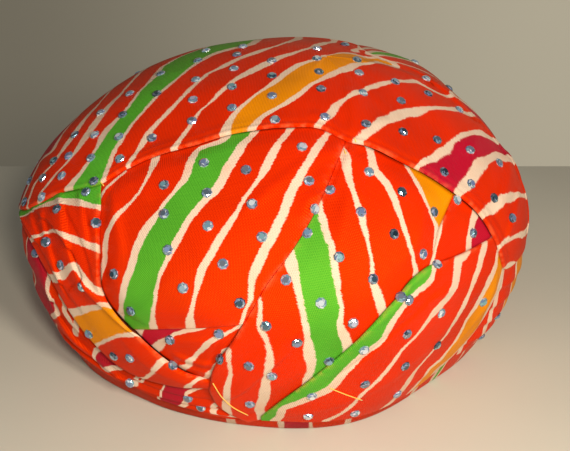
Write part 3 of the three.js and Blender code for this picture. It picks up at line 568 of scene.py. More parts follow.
CLOTHS = {
    "left_front_panel": Cloth(
        bottom=(panel_foot, [-0.6, 1.2], [1.0, 1.3]),
        top=tucked(crown_left_panel),
        left=tucked(left_band_panel.backwards()),
        right=(front_seam.backwards(), [1.3, 1.1], [1.3]),
        centre=1.4,
        folds=[
            (0.02, 0.98, 0.2, 0.45, 1.0, 3, 5), (0.04, 0.99, 0.3, 0.72, 0.7, 3, 4),
            (0.1, 0.05, 0.55, 0.3, 0.6, 4, 7), (0.99, 0.95, 0.75, 0.55, 0.7, 4, 4),
            (0.92, 0.1, 0.6, 0.42, 0.6, 3, 6),
        ],
        seed=3,
    ),
    "right_front_panel": Cloth(
        bottom=(front_heel, [-0.4], [1]),
        top=tucked(crown_right_panel),
        left=(
            chain(front_seam, crossing_upper, band_tip, crossing_lower).backwards(),
            [0.6, 2.2, 2.2, -0.3, -0.3, -0.3], [1.2, 2.0, 1.8, 0.4, 0.2, 0.2],
        ),
        right=tucked(chain(right_band_tip, right_band_panel, side_fold)),
        centre=1.0,
        folds=[
            (0.08, 0.2, 0.5, 0.62, 0.8, 3, 6), (0.3, 0.1, 0.4, 0.5, 0.6, 3, 5),
            (0.04, 0.98, 0.3, 0.7, 0.9, 3, 3), (0.5, 0.97, 0.55, 0.62, 0.5, 5, 7),
        ],
        seed=5,
    ),
    "right_side_fold": Cloth(
        bottom=tucked(right_band_side),
        top=tucked(straight((61.5, 33.8), (61.5, 33.8), 5)),
        left=(side_fold, [0.9], [1.1]),
        right=tucked(crown_side_fold.backwards()),
        centre=0.6,
        seed=7,
    ),
    "under_fold": Cloth(
        bottom=tucked(left_band_fold, -1.2),
        top=tucked(panel_foot, -1.0),
        left=tucked(straight((-23.5, -20.5), (-23.5, -20.5), 5), -1.4),
        right=tucked(crossing_upper.backwards(), -0.8),
        centre=-0.7,
        folds=[
            (0.55, 0.25, 1, 0.3, 1.2, 2, 3), (0.6, 0.1, 1, 0.12, 1.0, 1.5, 2.5),
            (0.3, 0.6, 0.95, 0.75, 0.6, 3, 5),
        ],
        seed=11,
    ),
    "left_band": Cloth(
        bottom=(left_band_outer, [0.6, 1.4, 2.4, 2.6, 0.8], [1.2, 2.4, 3.8, 3.8, 1.8]),
        top=(chain(left_band_panel, left_band_fold), [0.5, 0.7, 1.2, 1.6, 0.6], [0.7, 0.8, 1.2, 1.7, 1.2]),
        left=tucked(crown_left_band),
        right=tucked(band_tip.backwards(), -1),
        centre=1.0,
        folds=[
            (0.0, 0.42, 0.5, 1.02, 1.7, 7, 1.3), (0.0, 0.16, 0.42, 0.3, 1.3, 6, 1.4),
            (0.0, 0.66, 0.3, 0.95, 0.9, 5, 1.6), (0.0, 0.84, 0.14, 0.95, 0.7, 4, 2),
            (0.55, 0.75, 0.98, 0.6, 0.5, 5, 3),
        ],
        detail=left_band_roll,
        seed=13,
    ),
    "right_band": Cloth(
        bottom=(chain(right_band_foot, right_band_end), [0.2], [1.2]),
        top=(chain(right_band_panel, right_band_side), [1.4], [1.4]),
        left=(right_band_tip, [0.6], [0.4]),
        right=tucked(crown_right_band.backwards()),
        centre=0.8,
        folds=[
            (0.3, 0.84, 0.78, 0.86, -0.7, 1.6, 1.6), (0.72, 0.86, 0.8, 0.78, 0.8, 2, 2),
            (0.1, 0.4, 0.95, 0.5, 0.5, 6, 3), (0.5, 0.16, 0.98, 0.2, 0.9, 5, 2),
        ],
        seed=17,
    ),
    "back_drape": Cloth(
        bottom=tucked(back_drape_foot, -0.9),
        top=tucked(crown_hem, -0.9),
        left=tucked(straight((92, -9), (92, -9), 8), -0.8),
        right=tucked(straight((243, -9), (243, -9), 8), -0.8),
        centre=0,
        folds=[
            (0.1, 0.05, 0.3, 0.95, 1.2, 10, 4), (0.35, 0.03, 0.42, 0.9, 1.0, 9, 5),
            (0.62, 0.04, 0.55, 0.9, 1.1, 10, 4),
        ],
        seed=19,
        ripple=0.4,
    ),
    "back_band": Cloth(
        bottom=(rim_back, [0.2], [1.2]),
        top=(
            chain(crown_back_band, back_drape_foot, crown_back_end),
            [-0.4, 0.8, 0.8, 0.8, -0.4], [0.3, 1.2, 1.2, 1.2, 0.3],
        ),
        left=tucked(right_band_end, -0.9),
        right=(back_split, [0.8], [1.2]),
        centre=0.8,
        folds=[
            (0, 0.2, 1, 0.22, 1.6, 7, 1.6), (0, 0.4, 1, 0.38, 1.8, 7, 1.6), (0, 0.6, 1, 0.62, 1.8, 7, 1.6),
            (0, 0.8, 1, 0.79, 1.5, 7, 1.6), (0.1, 0.5, 0.6, 0.52, 0.6, 4, 1.5),
        ],
        seed=23,
    ),
    "left_rim_wrap": Cloth(
        bottom=(rim_left, [0], [1]),
        top=(
            chain(crown_rim_wrap, left_band_outer.turned()),
            [-0.6, -1.6, -3.2, -4.4, -4.4, -4.4, -4.0, -1.6], [0],
        ),
        left=tucked(back_split, -0.9),
        right=tucked(crossing_lower.turned().backwards(), -1),
        centre=-0.2,
        folds=[
            (0.0, 0.45, 1, 0.5, 2.2, 6, 1.0), (0.35, 0.78, 1, 0.76, 1.2, 4, 1.0),
            (0.2, 0.24, 1, 0.22, 1.6, 5, 1.0),
        ],
        seed=29,
        # A wider band of painted shade in the deep crease under the left band
        shade=3,
    ),
    "lower_rim_wrap": Cloth(
        bottom=(Side([0, 67], [(64, RIM_FOOT_LATITUDE), (424, RIM_FOOT_LATITUDE)]), [-0.8], [0.8]),
        top=tucked(chain(rim_back, rim_left, front_heel.turned(), right_band_foot.turned()), -0.6),
        left=(straight((64, RIM_FOOT_LATITUDE), (64, -69), 2), [-0.6], [0.01]),
        right=(straight((424, RIM_FOOT_LATITUDE), (424, -69), 2), [-0.6], [0.01]),
        centre=-0.3,
        seed=31,
        ripple=0.1,
        cell=2,
    ),
    "crown_drape": Crown(
        columns=430,
        rows=96,
        centre=0.6,
        hem_lift=1.4,
        hem_radius=1.5,
        folds=[
            (64, 42, 7, 1.2), (78, 36, 7, 1.4), (90, 30, 8, 1.4), (40, 60, 9, 1), (-50, 40, 6, 0.7),
            (108, 62, 6, 0.8), (55, 55, 5, 0.7), (-10, 70, 12, 0.6),
        ],
        seed=37,
    ),
}

# Dye lines of the striped cloth, as pixels of the photograph. Stripe k lies between lines k and k + 1,
# and the stripes repeat by twelve: 0 is green, 4 amber and 8 magenta, and the others are orange.
# A count with a fraction lies inside a stripe and draws no line.
DYE_LINES = {
    "crown_drape": {
        -4: [(24, 190), (32, 165)],
        -3: [(33, 176), (40, 162), (53, 150)],
        -2: [(27, 206), (34, 185), (53, 164), (66, 145), (86, 118), (97, 106)],
        -1: [(40, 194), (57, 173), (81, 145), (102, 114), (121, 94), (148, 66)],
        0: [(70, 187), (90, 160), (104, 134), (125, 110), (162, 67), (204, 48)],
        1: [(103, 180), (111, 162), (123, 136), (163, 90), (185, 72), (215, 53), (249, 45)],
        2: [(128, 164), (150, 131), (174, 106), (209, 73)],
        3: [(176, 145), (200, 111), (215, 99), (300, 51), (334, 42)],
        4: [(226, 135), (233, 116), (268, 87), (298, 65), (317, 58), (357, 51), (375, 51), (386, 55)],
        5: [(252, 133), (264, 116), (298, 95), (331, 75), (358, 64), (378, 62), (394, 61)],
        5.4: [(380, 44), (392, 51), (402, 58), (414, 63), (430, 73), (446, 84)],
        6: [
            (319, 125), (328, 117), (339, 103), (355, 92), (367, 88), (388, 83), (417, 82), (450, 88),
            (458, 95),
        ],
        7: [(360, 140), (370, 131), (388, 119), (403, 113), (425, 110), (456, 109), (473, 113)],
        8: [(419, 167), (433, 159), (452, 143), (472, 133), (488, 137), (497, 142)],
        9: [(458, 191), (471, 180), (480, 166), (495, 157), (502, 158)],
        10: [(478, 216), (491, 208), (508, 198), (526, 195)],
        11: [(500, 246), (511, 239), (523, 234)],
        12: [(500, 272), (514, 264)],
    },
    "left_front_panel": {
        -2: [(124, 172), (103, 192)],
        -1: [(159, 154), (138, 192), (117, 216), (107, 234), (105, 261)],
        0: [(224, 140), (199, 150), (184, 179), (163, 204), (143, 235), (132, 267), (122, 319)],
        1: [(243, 144), (220, 183), (187, 223), (172, 250), (159, 276), (154, 305), (155, 330)],
        2: [(293, 127), (264, 169), (246, 197), (220, 238), (201, 271), (193, 307), (191, 324)],
        3: [(330, 133), (300, 177), (275, 232), (262, 255), (252, 276), (249, 301), (243, 319)],
    },
    "right_front_panel": {
        -2: [(228, 351), (231, 372), (226, 396)],
        -1: [(259, 304), (262, 330), (270, 352), (266, 373), (261, 409)],
        0: [(288, 256), (296, 291), (305, 318), (311, 368)],
        1: [(321, 205), (332, 247), (341, 325), (348, 348)],
        2: [(346, 156), (348, 175), (363, 227), (373, 284), (384, 311)],
        3: [(369, 149), (375, 170), (387, 184), (404, 227), (416, 270)],
        4: [(405, 164), (416, 181), (436, 227), (431, 266)],
        5: [(470, 200), (460, 232)],
    },
    "right_side_fold": {
        7: [(418, 205), (408, 240)],
        8: [(476, 210), (470, 235), (468, 252)],
        9: [(494, 238), (492, 250)],
    },
    "under_fold": {
        9: [(155, 347), (175, 334), (202, 327)],
        10: [(186, 366), (203, 348), (222, 335), (243, 325)],
        11: [(212, 372), (226, 350)],
    },
    "left_band": {
        1: [(30, 212), (58, 201), (79, 203), (101, 209)],
        2: [(33, 238), (53, 232), (71, 238), (85, 244), (102, 250)],
        3: [(58, 275), (77, 267), (88, 282), (108, 290)],
        4: [(78, 312), (102, 305), (112, 304)],
        5: [(106, 342), (134, 333)],
        6: [(146, 378), (152, 372), (158, 364), (166, 358)],
        7: [(188, 388), (194, 382), (203, 377)],
    },
    "left_rim_wrap": {
        8.4: [(33, 250), (40, 275), (105, 358), (112, 361), (172, 394), (182, 391)],
        9: [
            (46, 262), (49, 281), (52, 300), (58, 313), (94, 357), (99, 348), (113, 368), (122, 367),
            (159, 398), (164, 386), (187, 394), (203, 386),
        ],
        9.5: [(66, 336), (80, 350), (88, 356), (122, 378), (152, 386), (206, 398)],
        10: [(61, 295), (65, 311), (70, 321), (75, 333), (133, 383), (143, 376), (214, 410), (216, 404)],
    },
    "right_band": {
        0.45: [
            (262, 412), (275, 404), (308, 383), (329, 366), (344, 355), (366, 334), (391, 306), (411, 282),
            (426, 273),
        ],
        1: [
            (284, 409), (331, 388), (346, 371), (361, 356), (381, 341), (396, 316), (406, 303), (419, 290),
            (433, 269),
        ],
        2: [(341, 414), (364, 393), (403, 349), (416, 336), (432, 315), (454, 287), (459, 259), (466, 252)],
        3: [
            (393, 400), (407, 384), (432, 352), (446, 335), (459, 315), (469, 294), (477, 274), (482, 257),
            (486, 243),
        ],
        4: [(431, 368), (441, 359), (454, 342), (466, 321), (479, 301), (489, 282), (496, 264), (498, 251)],
        5: [(440, 372), (456, 362), (471, 348), (484, 328), (488, 312), (496, 294), (503, 268)],
    },
}

# Folds that the photograph shows: pixels along each one, then its height, left width and right width in mm
CREASES = {
    "right_front_panel": [
        ([(288, 353), (262, 375), (240, 393), (222, 400)], 1.5, 0.9, 7),
        ([(351, 146), (343, 168), (330, 200)], 0.8, 3, 1.6),
        ([(352, 146), (358, 172), (362, 200)], 0.6, 1.6, 3),
        ([(424, 205), (418, 235), (404, 262)], 0.7, 5, 3),
    ],
    "left_front_panel": [
        ([(326, 192), (308, 203), (303, 222)], 0.8, 1.2, 4),
        ([(341, 140), (332, 160), (322, 185)], 0.7, 2, 4),
        ([(112, 200), (108, 240), (116, 285)], 0.6, 6, 3),
    ],
    "crown_drape": [
        ([(351, 134), (352, 112), (346, 88)], 1.0, 2.2, 6),
        ([(341, 134), (330, 122), (312, 112)], 0.6, 3, 3),
        ([(362, 138), (372, 126), (388, 118)], 0.6, 3, 3),
        ([(482, 116), (474, 142), (467, 184)], 1.0, 6, 3),
        ([(509, 148), (507, 180), (497, 212)], 1.3, 6, 2.5),
        ([(518, 190), (514, 215), (506, 240)], 1.0, 4, 2),
        ([(411, 61), (440, 84), (462, 108)], 1.0, 5, 2.5),
    ],
    "under_fold": [([(226, 330), (216, 345), (203, 368)], 1.0, 1.2, 4)],
    "left_band": [
        ([(62, 193), (66, 232), (73, 258), (83, 280), (101, 300)], 2.4, 0.8, 8),
        ([(80, 192), (83, 215), (88, 244)], 1.1, 1.2, 3),
        ([(97, 205), (97, 236), (100, 262), (107, 290)], 1.2, 1.0, 3.5),
        ([(42, 208), (45, 226), (54, 262), (66, 296)], 1.3, 0.9, 4),
        ([(31, 212), (34, 226), (40, 240)], 1.0, 1.0, 4),
    ],
    "right_band": [
        ([(432, 270), (411, 286), (398, 306), (378, 326)], 0.8, 1.2, 3),
        ([(498, 268), (489, 300), (470, 335)], 1.0, 2.5, 5),
    ],
    "left_rim_wrap": [
        ([(34, 247), (46, 272), (53, 300), (62, 320), (75, 338), (90, 353)], 1.8, 0.9, 6),
        ([(100, 360), (121, 366), (145, 376), (168, 383), (196, 385)], 2.0, 0.9, 7),
        ([(62, 334), (80, 351), (100, 366), (124, 379)], 1.4, 1.0, 5),
    ],
}

# Stripes of the cloths that go round, as azimuths and the dye line there
ROUND_DYE = {
    "back_drape": [(92, 6.7), (243, 23.4)],
    "back_band": [(64, 1.4), (248, 26.2)],
    "lower_rim_wrap": [
        (64, -10), (100, -6), (250, 5), (305, 6), (357, 7), (371, 8), (379, 9), (389, 10), (410, 10.6),
        (424, 12.3),
    ],
}
SLOPE_RANGE = (0.008, 0.4)
THIN_LINES = {"left_rim_wrap": 0.6, "lower_rim_wrap": 0.7, "left_band": 0.9, "back_band": 0.8}


def camera_frame():
    e, a = math.radians(CAMERA_ELEVATION), math.radians(CAMERA_AZIMUTH)
    back = np.array([math.sin(a) * math.cos(e), -math.cos(a) * math.cos(e), math.sin(e)])
    right = np.array([math.cos(a), math.sin(a), 0])
    return np.array(CAMERA_AIM) + CAMERA_DISTANCE * back, right, np.cross(back, right), back


def pixel_ray(x, y):
    eye, right, up, back = camera_frame()
    across = (x - PHOTO_WIDTH / 2) / FOCAL_PIXELS
    rise = (PHOTO_HEIGHT / 2 - y) / FOCAL_PIXELS
    return eye, unit(right * across + up * rise - back)


def surface_tree(cloths):
    """One search tree over the outer faces of some cloths."""
    points, faces = [], []
    for cloth in cloths:
        cloth_points, cloth_faces, count = cloth.mesh_data()
        start = len(points)
        faces += [tuple(int(k) + start for k in face) for face in cloth_faces if max(face) < count]
        points += [Vector(p) for p in cloth_points[:count]]
    return BVHTree.FromPolygons(points, faces)


SIGHT_REACHES = range(360, 720, 6)


def pixel_place(tree, x, y):
    """The point of a cloth under a pixel, or the nearest one where the ray passes beside it."""
    eye, way = pixel_ray(x, y)
    hit, normal, _, _ = tree.ray_cast(Vector(eye), Vector(way))
    if hit is None:
        tries = [tree.find_nearest(Vector(eye + way * reach)) for reach in SIGHT_REACHES]
        hit, normal, _, _ = min(tries, key=lambda found: found[3])
    return np.array(hit), np.array(normal)


DYE_SOFTNESS = 0.8
DYE_FLAT_REACH = 100
POINTS_AT_ONCE = 20000


def dye_terms(points, places):
    """Each point's distances to the marks, and the flat part that the stripe count has besides."""
    reach = np.linalg.norm(points[:, None] - places[None], axis=-1)
    return reach, np.hstack([np.ones((len(points), 1)), points / DYE_FLAT_REACH])


def dye_from_lines(lines, cloth):
    """The stripe count all over a cloth, smooth between the dye lines that the photograph shows."""
    tree = surface_tree([cloth])
    marks = [(pixel_place(tree, x, y)[0], line) for line, row in lines.items() for x, y in row]
    places = np.array([mark[0] for mark in marks])
    counts = np.array([mark[1] for mark in marks], float)
    size = len(places)
    reach, flat = dye_terms(places, places)
    system = np.block([[reach + np.eye(size) * DYE_SOFTNESS, flat], [flat.T, np.zeros((4, 4))]])
    weights = np.linalg.lstsq(system, np.concatenate([counts, np.zeros(4)]), rcond=1e-6)[0]
    targets = cloth.outer.reshape(-1, 3)
    values = np.zeros(len(targets))
    for start in range(0, len(targets), POINTS_AT_ONCE):
        part = slice(start, start + POINTS_AT_ONCE)
        near, plain = dye_terms(targets[part], places)
        values[part] = near @ weights[:size] + plain @ weights[size:]
    return values.reshape(cloth.outer.shape[:2])


def dye_slope(dye, points):
    """Stripes per mm at each point, so that an undyed line keeps its width where the stripes spread out."""
    total = np.zeros(dye.shape)
    for axis in (0, 1):
        size = np.linalg.norm(np.gradient(points, axis=axis), axis=-1)
        total += (np.gradient(dye, axis=axis) / np.maximum(size, 0.1)) ** 2
    slope = np.sqrt(total)
    for _ in range(3):
        slope[1:-1] = (slope[:-2] + 2 * slope[1:-1] + slope[2:]) / 4
        slope[:, 1:-1] = (slope[:, :-2] + 2 * slope[:, 1:-1] + slope[:, 2:]) / 4
    return np.clip(slope, *SLOPE_RANGE)


CREASE_STEPS = 40


def crease(cloth, tree, pixels, height, left, right):
    """Raises a fold along a line of pixels, with its own width in mm on each side of the line."""
    line = curve_at(pixels, np.linspace(0, len(pixels) - 1, CREASE_STEPS))
    line = np.array([pixel_place(tree, x, y)[0] for x, y in line])
    ways = unit(np.gradient(line, axis=0))
    run = np.concatenate([[0], np.cumsum(np.linalg.norm(np.diff(line, axis=0), axis=1))])
    points = cloth.outer.reshape(-1, 3)
    normals = outward(cloth.places[..., 0], cloth.places[..., 1]).reshape(-1, 3)
    close = np.linalg.norm(points - line.mean(axis=0), axis=1) < run[-1] / 2 + 4 * max(left, right)
    near, own = points[close], normals[close]
    gaps = np.linalg.norm(near[:, None] - line[None], axis=-1)
    nearest = gaps.argmin(axis=1)
    offset = near - line[nearest]
    way = ways[nearest]
    side = np.einsum("ij,ij->i", np.cross(way, offset), own)
    ahead = np.einsum("ij,ij->i", way, offset)
    share = (run[nearest] + ahead) / run[-1]
    fade = smooth((share + 0.1) / 0.25) * smooth((1.1 - share) / 0.25)
    rise = height * fade * np.exp(-((side / np.where(side > 0, left, right)) ** 2))
    moved = np.zeros(points.shape)
    moved[close] = own * rise[:, None]
    cloth.outer = cloth.outer + moved.reshape(cloth.outer.shape)


def make_mesh(name, points, faces, smooth_shading=True):
    mesh = bpy.data.meshes.new(name)
    mesh.from_pydata((np.asarray(points) * MM).tolist(), [], [list(map(int, face)) for face in faces])
    mesh.validate()
    mesh.polygons.foreach_set("use_smooth", [smooth_shading] * len(mesh.polygons))
    mesh.update()
    piece = bpy.data.objects.new(name, mesh)
    bpy.context.scene.collection.objects.link(piece)
    return piece


def add_values(piece, name, values, kind="FLOAT", domain="POINT"):
    layer = piece.data.attributes.new(name, kind, domain)
    field = "vector" if kind == "FLOAT_VECTOR" else "value"
    layer.data.foreach_set(field, np.asarray(values, dtype=np.float32).ravel())


ROOF_RINGS = 22
WALL_RINGS = 34
LIP_RINGS = 6
FOOT_RINGS = 34
SKIN_RINGS = 60
HOLLOW_TURN_RISE = 15
HOLLOW_TURN_DEPTH = 1.3
FOOT_TURN_HEIGHT = 1.6
WRAP_COLUMNS = 192
WRAP_MM_PER_DEGREE = 2.2


def inner_wraps_piece():
    """The wound body: the head hollow with its turns of cloth, the ring it rests on and the outer skin."""
    columns = WRAP_COLUMNS
    azimuth = 360 * np.arange(columns) / columns
    turn = np.radians(azimuth)

    def hollow_ring(height, widen, share=None):
        if share is None:
            share = max(0.0, 1 - (height / HOLLOW_HEIGHT) ** HOLLOW_POWER) ** (1 / HOLLOW_POWER)
        x = HOLLOW_CENTRE[0] + (HOLLOW_HALF[0] + widen) * share * np.sin(turn)
        y = HOLLOW_CENTRE[1] - (HOLLOW_HALF[1] + widen) * share * np.cos(turn)
        return np.stack([x, y, np.full(columns, float(height))], -1)

    def hollow_turns(ring):
        """Slanting turns of cloth inside the hollow, as shallow steps that thicken the wall."""
        phase = np.mod(ring[:, 2] / HOLLOW_TURN_RISE + azimuth / 180 + 0.12 * np.sin(turn * 3), 1)
        depth = HOLLOW_TURN_DEPTH * smooth(phase) * smooth((1 - phase) / 0.12) * smooth(ring[:, 2] / 8)
        centre = np.array([*HOLLOW_CENTRE, 20])
        return ring + unit(centre - ring) * depth[:, None]

    rings = []
    for step in np.linspace(0.04, 0.9, ROOF_RINGS):
        height = HOLLOW_HEIGHT * (1 - step**HOLLOW_POWER) ** (1 / HOLLOW_POWER)
        rings.append(hollow_turns(hollow_ring(height, 0)))
    for height in np.linspace(0.52, 0.055, WALL_RINGS) * HOLLOW_HEIGHT:
        rings.append(hollow_turns(hollow_ring(height, 0)))
    for angle in np.linspace(0, math.pi / 2, LIP_RINGS)[:-1]:
        rise = LIP_RADIUS * (1 - math.sin(angle))
        rings.append(hollow_ring(rise, LIP_RADIUS * (1 - math.cos(angle))))
    foot = lifted(azimuth, -90 + 90 * HEEL_RADIUS / GIRTH_HEIGHT, CORE_LIFT - HEEL_RADIUS)
    foot[:, 2] = 0
    lip = hollow_ring(0, LIP_RADIUS, 1)
    for share in shares(FOOT_RINGS):
        ring = lip + (foot - lip) * share
        wander = 0.08 * np.sin(turn * 2 + 1) + 0.05 * np.sin(turn * 5)
        phase = np.mod(share * 5 + azimuth / 360 + wander, 1)
        fade = smooth((1 - phase) / 0.06) * min(1, 12 * share * (1 - share))
        ring[:, 2] = FOOT_TURN_HEIGHT * smooth((phase - 0.72) / 0.2) * fade
        rings.append(ring)
    for latitude in np.linspace(-86, 88, SKIN_RINGS):
        rings.append(lifted(azimuth, latitude, CORE_LIFT))
    grid = np.stack(rings)
    k = np.arange(columns)
    faces = [*ring_faces(len(grid), columns).tolist(), list(k[::-1]), list((len(grid) - 1) * columns + k)]
    piece = make_mesh("inner_wraps_cloth", grid.reshape(-1, 3), faces)
    around = np.broadcast_to(azimuth * WRAP_MM_PER_DEGREE, grid.shape[:2])
    weave = np.stack([around, run_lengths(grid, 0), np.zeros(grid.shape[:2])], -1)
    add_values(piece, "cloth_mm", weave, "FLOAT_VECTOR")
    return piece


# Colours, linear
GREEN = (0.07, 0.36, 0.022, 1)
AMBER = (0.78, 0.24, 0.001, 1)
MAGENTA = (0.46, 0.0, 0.025, 1)
ORANGE = (0.68, 0.016, 0.0, 1)
CREAM = (0.72, 0.53, 0.385, 1)
STAINED_CREAM = (0.80, 0.34, 0.2, 1)
WORN_EDGE = (0.80, 0.26, 0.10, 1)
INNER_DARK = (0.62, 0.05, 0.006, 1)
INNER_BRIGHT = (0.78, 0.085, 0.012, 1)
INNER_PALE = (0.85, 0.3, 0.16, 1)
THREAD_YELLOW = (0.85, 0.42, 0.01, 1)
THREAD_PALE = (0.95, 0.62, 0.12, 1)
SHEEN_RED = (1.0, 0.35, 0.1, 1)
GLOSS_GOLD = (1.0, 0.55, 0.03, 1)
STRIPES = 12
STRIPE_STOPS = [(0, GREEN), (1, ORANGE), (4, AMBER), (5, ORANGE), (8, MAGENTA), (9, ORANGE)]
# The glass ramp: stone colours in the middle, and dark and near-white ends for the facets' painted shade
# and painted glints
GLASS_STOPS = [
    (0, (0.012, 0.03, 0.05, 1)), (0.2, (0.05, 0.11, 0.16, 1)), (0.38, (0.20, 0.23, 0.28, 1)),
    (0.55, (0.22, 0.30, 0.56, 1)), (0.72, (0.22, 0.48, 0.50, 1)), (0.86, (0.55, 0.50, 0.70, 1)),
    (1, (0.85, 0.93, 0.95, 1)),
]
FLOOR_COLOR = (0.56, 0.53, 0.43, 1)
WALL_COLOR = (0.39, 0.35, 0.26, 1)

# Painted light on the wall, given off by the wall itself, from one place to another along X, in metres
WALL_SPAN = (-0.82, 0.35)
WALL_PAINTED_LIGHT = (0.16, 0.85)


class Nodes:
    """Short helpers to build a material's nodes."""

    def __init__(self, name):
        self.material = bpy.data.materials.new(name)
        self.material.use_nodes = True
        self.tree = self.material.node_tree
        self.shader = self.tree.nodes["Principled BSDF"]

    def add(self, kind, inputs=None, **settings):
        node = self.tree.nodes.new(kind)
        for key, value in settings.items():
            setattr(node, key, value)
        self.feed(node, inputs or {})
        return node

    def feed(self, node, inputs):
        """Joins each input to its source, or sets it where it is a number or a colour."""
        for key, source in inputs.items():
            if isinstance(source, bpy.types.NodeSocket):
                self.tree.links.new(source, node.inputs[key])
            else:
                node.inputs[key].default_value = source

    def finish(self, inputs):
        self.feed(self.shader, inputs)
        return self.material

    def place(self):
        return self.add("ShaderNodeTexCoord").outputs["Object"]

    def attribute(self, name, output="Fac"):
        return self.add("ShaderNodeAttribute", attribute_name=name).outputs[output]

    def math(self, operation, *sources):
        return self.add("ShaderNodeMath", dict(enumerate(sources)), operation=operation).outputs[0]

    def between(self, value, low, high, to_low=0.0, to_high=1.0):
        inputs = dict(enumerate((value, low, high, to_low, to_high)))
        return self.add("ShaderNodeMapRange", inputs, interpolation_type="SMOOTHSTEP").outputs[0]

    def noise(self, vector, scale, detail=2.0, roughness=0.5):
        inputs = {"Vector": vector, "Scale": scale, "Detail": detail, "Roughness": roughness}
        return self.add("ShaderNodeTexNoise", inputs).outputs["Fac"]

    def wave(self, vector, direction, scale, distortion, detail_scale=1.0):
        inputs = {"Vector": vector, "Scale": scale, "Distortion": distortion, "Detail Scale": detail_scale}
        return self.add("ShaderNodeTexWave", inputs, bands_direction=direction).outputs["Fac"]

    def scaled(self, vector, sizes):
        return self.add("ShaderNodeMapping", {"Scale": sizes, "Vector": vector}).outputs["Vector"]

    def mix(self, share, a, b, blend="MIX"):
        inputs = {0: share, 6: a, 7: b}
        return self.add("ShaderNodeMix", inputs, data_type="RGBA", blend_type=blend).outputs[2]

    def dimmed(self, color, value):
        grey = self.add("ShaderNodeCombineColor", {0: value, 1: value, 2: value})
        return self.mix(1.0, color, grey.outputs[0], "MULTIPLY")

    def ramp(self, value, stops, interpolation="LINEAR"):
        node = self.add("ShaderNodeValToRGB", {"Fac": value})
        node.color_ramp.interpolation = interpolation
        elements = node.color_ramp.elements
        first, *middle, last = stops
        elements[0].position, elements[0].color = first
        elements[1].position, elements[1].color = last
        for position, color in middle:
            elements.new(position).color = color
        return node.outputs["Color"]

    def bump(self, height, strength, distance):
        inputs = {"Height": height, "Strength": strength, "Distance": distance}
        return self.add("ShaderNodeBump", inputs).outputs["Normal"]


def weave_height(n, cloth):
    """Twill threads: fine slanting ribs crossed by the threads under them, in the cloth's own mm."""
    ribs = n.wave(n.scaled(cloth, (1.0, 1.0, 0)), "DIAGONAL", 0.55, 1.2, 0.6)
    cross = n.wave(cloth, "X", 0.45, 0.8)
    slub = n.noise(n.scaled(cloth, (0.12, 1.6, 0)), 1.0, 3.0)
    total = n.math("ADD", ribs, n.math("MULTIPLY", cross, 0.6))
    return n.math("ADD", total, n.math("MULTIPLY", slub, 1.2)), slub


def astray(n, noise, span):
    """How far a noise moves an undyed line from its place, over a span in mm."""
    return n.math("MULTIPLY", n.math("SUBTRACT", noise, 0.5), span)


def leheria_material():
    """Tie-dyed cloth: wavy undyed lines between stripes of colour, feathered along the threads."""
    n = Nodes("leheria_cloth")
    place = n.place()
    cloth = n.attribute("cloth_mm", "Vector")
    slope = n.attribute("dye_slope")
    wobble = astray(n, n.noise(place, 45, 1.0), 3.6)
    ragged = astray(n, n.noise(place, 260, 2.0, 0.6), 1.6)
    fringe = astray(n, n.noise(n.scaled(cloth, (0.35, 2.6, 0)), 1.0, 2.0, 0.7), 2.0)
    away = n.math("ADD", wobble, n.math("ADD", ragged, fringe))
    moved = n.math("ADD", n.attribute("dye"), n.math("MULTIPLY", away, slope))
    nearest = n.math("FLOOR", n.math("ADD", moved, 0.5))
    distance = n.math("ABSOLUTE", n.math("SUBTRACT", moved, nearest))
    width = n.math("MULTIPLY", n.between(n.noise(place, 30, 1.0), 0.3, 0.7, 0.9, 2.6), slope)
    feather = n.math("MULTIPLY", slope, 0.35)
    line = n.between(n.math("SUBTRACT", distance, width), feather, n.math("MULTIPLY", feather, -1.0))
    number = n.math("ADD", n.math("FLOORED_MODULO", n.math("FLOOR", moved), STRIPES), 0.5)
    stops = [(stripe / STRIPES, color) for stripe, color in STRIPE_STOPS]
    dyed = n.ramp(n.math("DIVIDE", number, STRIPES), stops, "CONSTANT")
    height, slub = weave_height(n, cloth)
    dyed = n.dimmed(dyed, n.between(n.noise(place, 18, 3.0), 0.25, 0.75, 0.82, 1.1))
    dyed = n.dimmed(dyed, n.between(height, 0.6, 2.2, 0.92, 1.07))
    undyed = n.mix(n.between(n.noise(place, 90, 2.0), 0.45, 0.8, 0.0, 0.3), CREAM, STAINED_CREAM)
    patchy = n.between(n.noise(place, 210, 2.0), 0.4, 0.7, 0.0, 0.35)
    wear = n.math("MULTIPLY", n.attribute("edge"), patchy)
    color = n.mix(wear, n.mix(line, dyed, undyed), WORN_EDGE)
    return n.finish({
        # Painted shade: the colour is darkened in the creases where the cloth goes under its neighbour
        "Base Color": n.dimmed(color, n.between(n.attribute("painted_crease_shade"), 0.1, 1.0, 1.0, 0.7)),
        "Roughness": n.between(slub, 0.2, 0.8, 0.46, 0.62),
        "Sheen Weight": 0.02,
        "Sheen Roughness": 0.4,
        "Sheen Tint": SHEEN_RED,
        "Specular IOR Level": 0.4,
        "Specular Tint": GLOSS_GOLD,
        "Normal": n.bump(height, 0.7, 0.0002),
    })


def inner_cloth_material():
    n = Nodes("inner_cloth")
    height, slub = weave_height(n, n.attribute("cloth_mm", "Vector"))
    patches = n.between(n.noise(n.place(), 22, 3.0), 0.3, 0.7)
    color = n.mix(patches, INNER_DARK, INNER_BRIGHT)
    return n.finish({
        "Base Color": n.mix(n.between(slub, 0.3, 0.8, 0.0, 0.25), color, INNER_PALE),
        "Roughness": n.between(slub, 0.2, 0.8, 0.7, 0.9),
        "Sheen Weight": 0.2,
        "Specular IOR Level": 0.2,
        "Normal": n.bump(height, 0.6, 0.0003),
    })


def thread_material():
    n = Nodes("seam_thread")
    color = n.mix(n.noise(n.place(), 900, 1.0), THREAD_YELLOW, THREAD_PALE)
    return n.finish({"Base Color": color, "Roughness": 0.55, "Sheen Weight": 0.2})


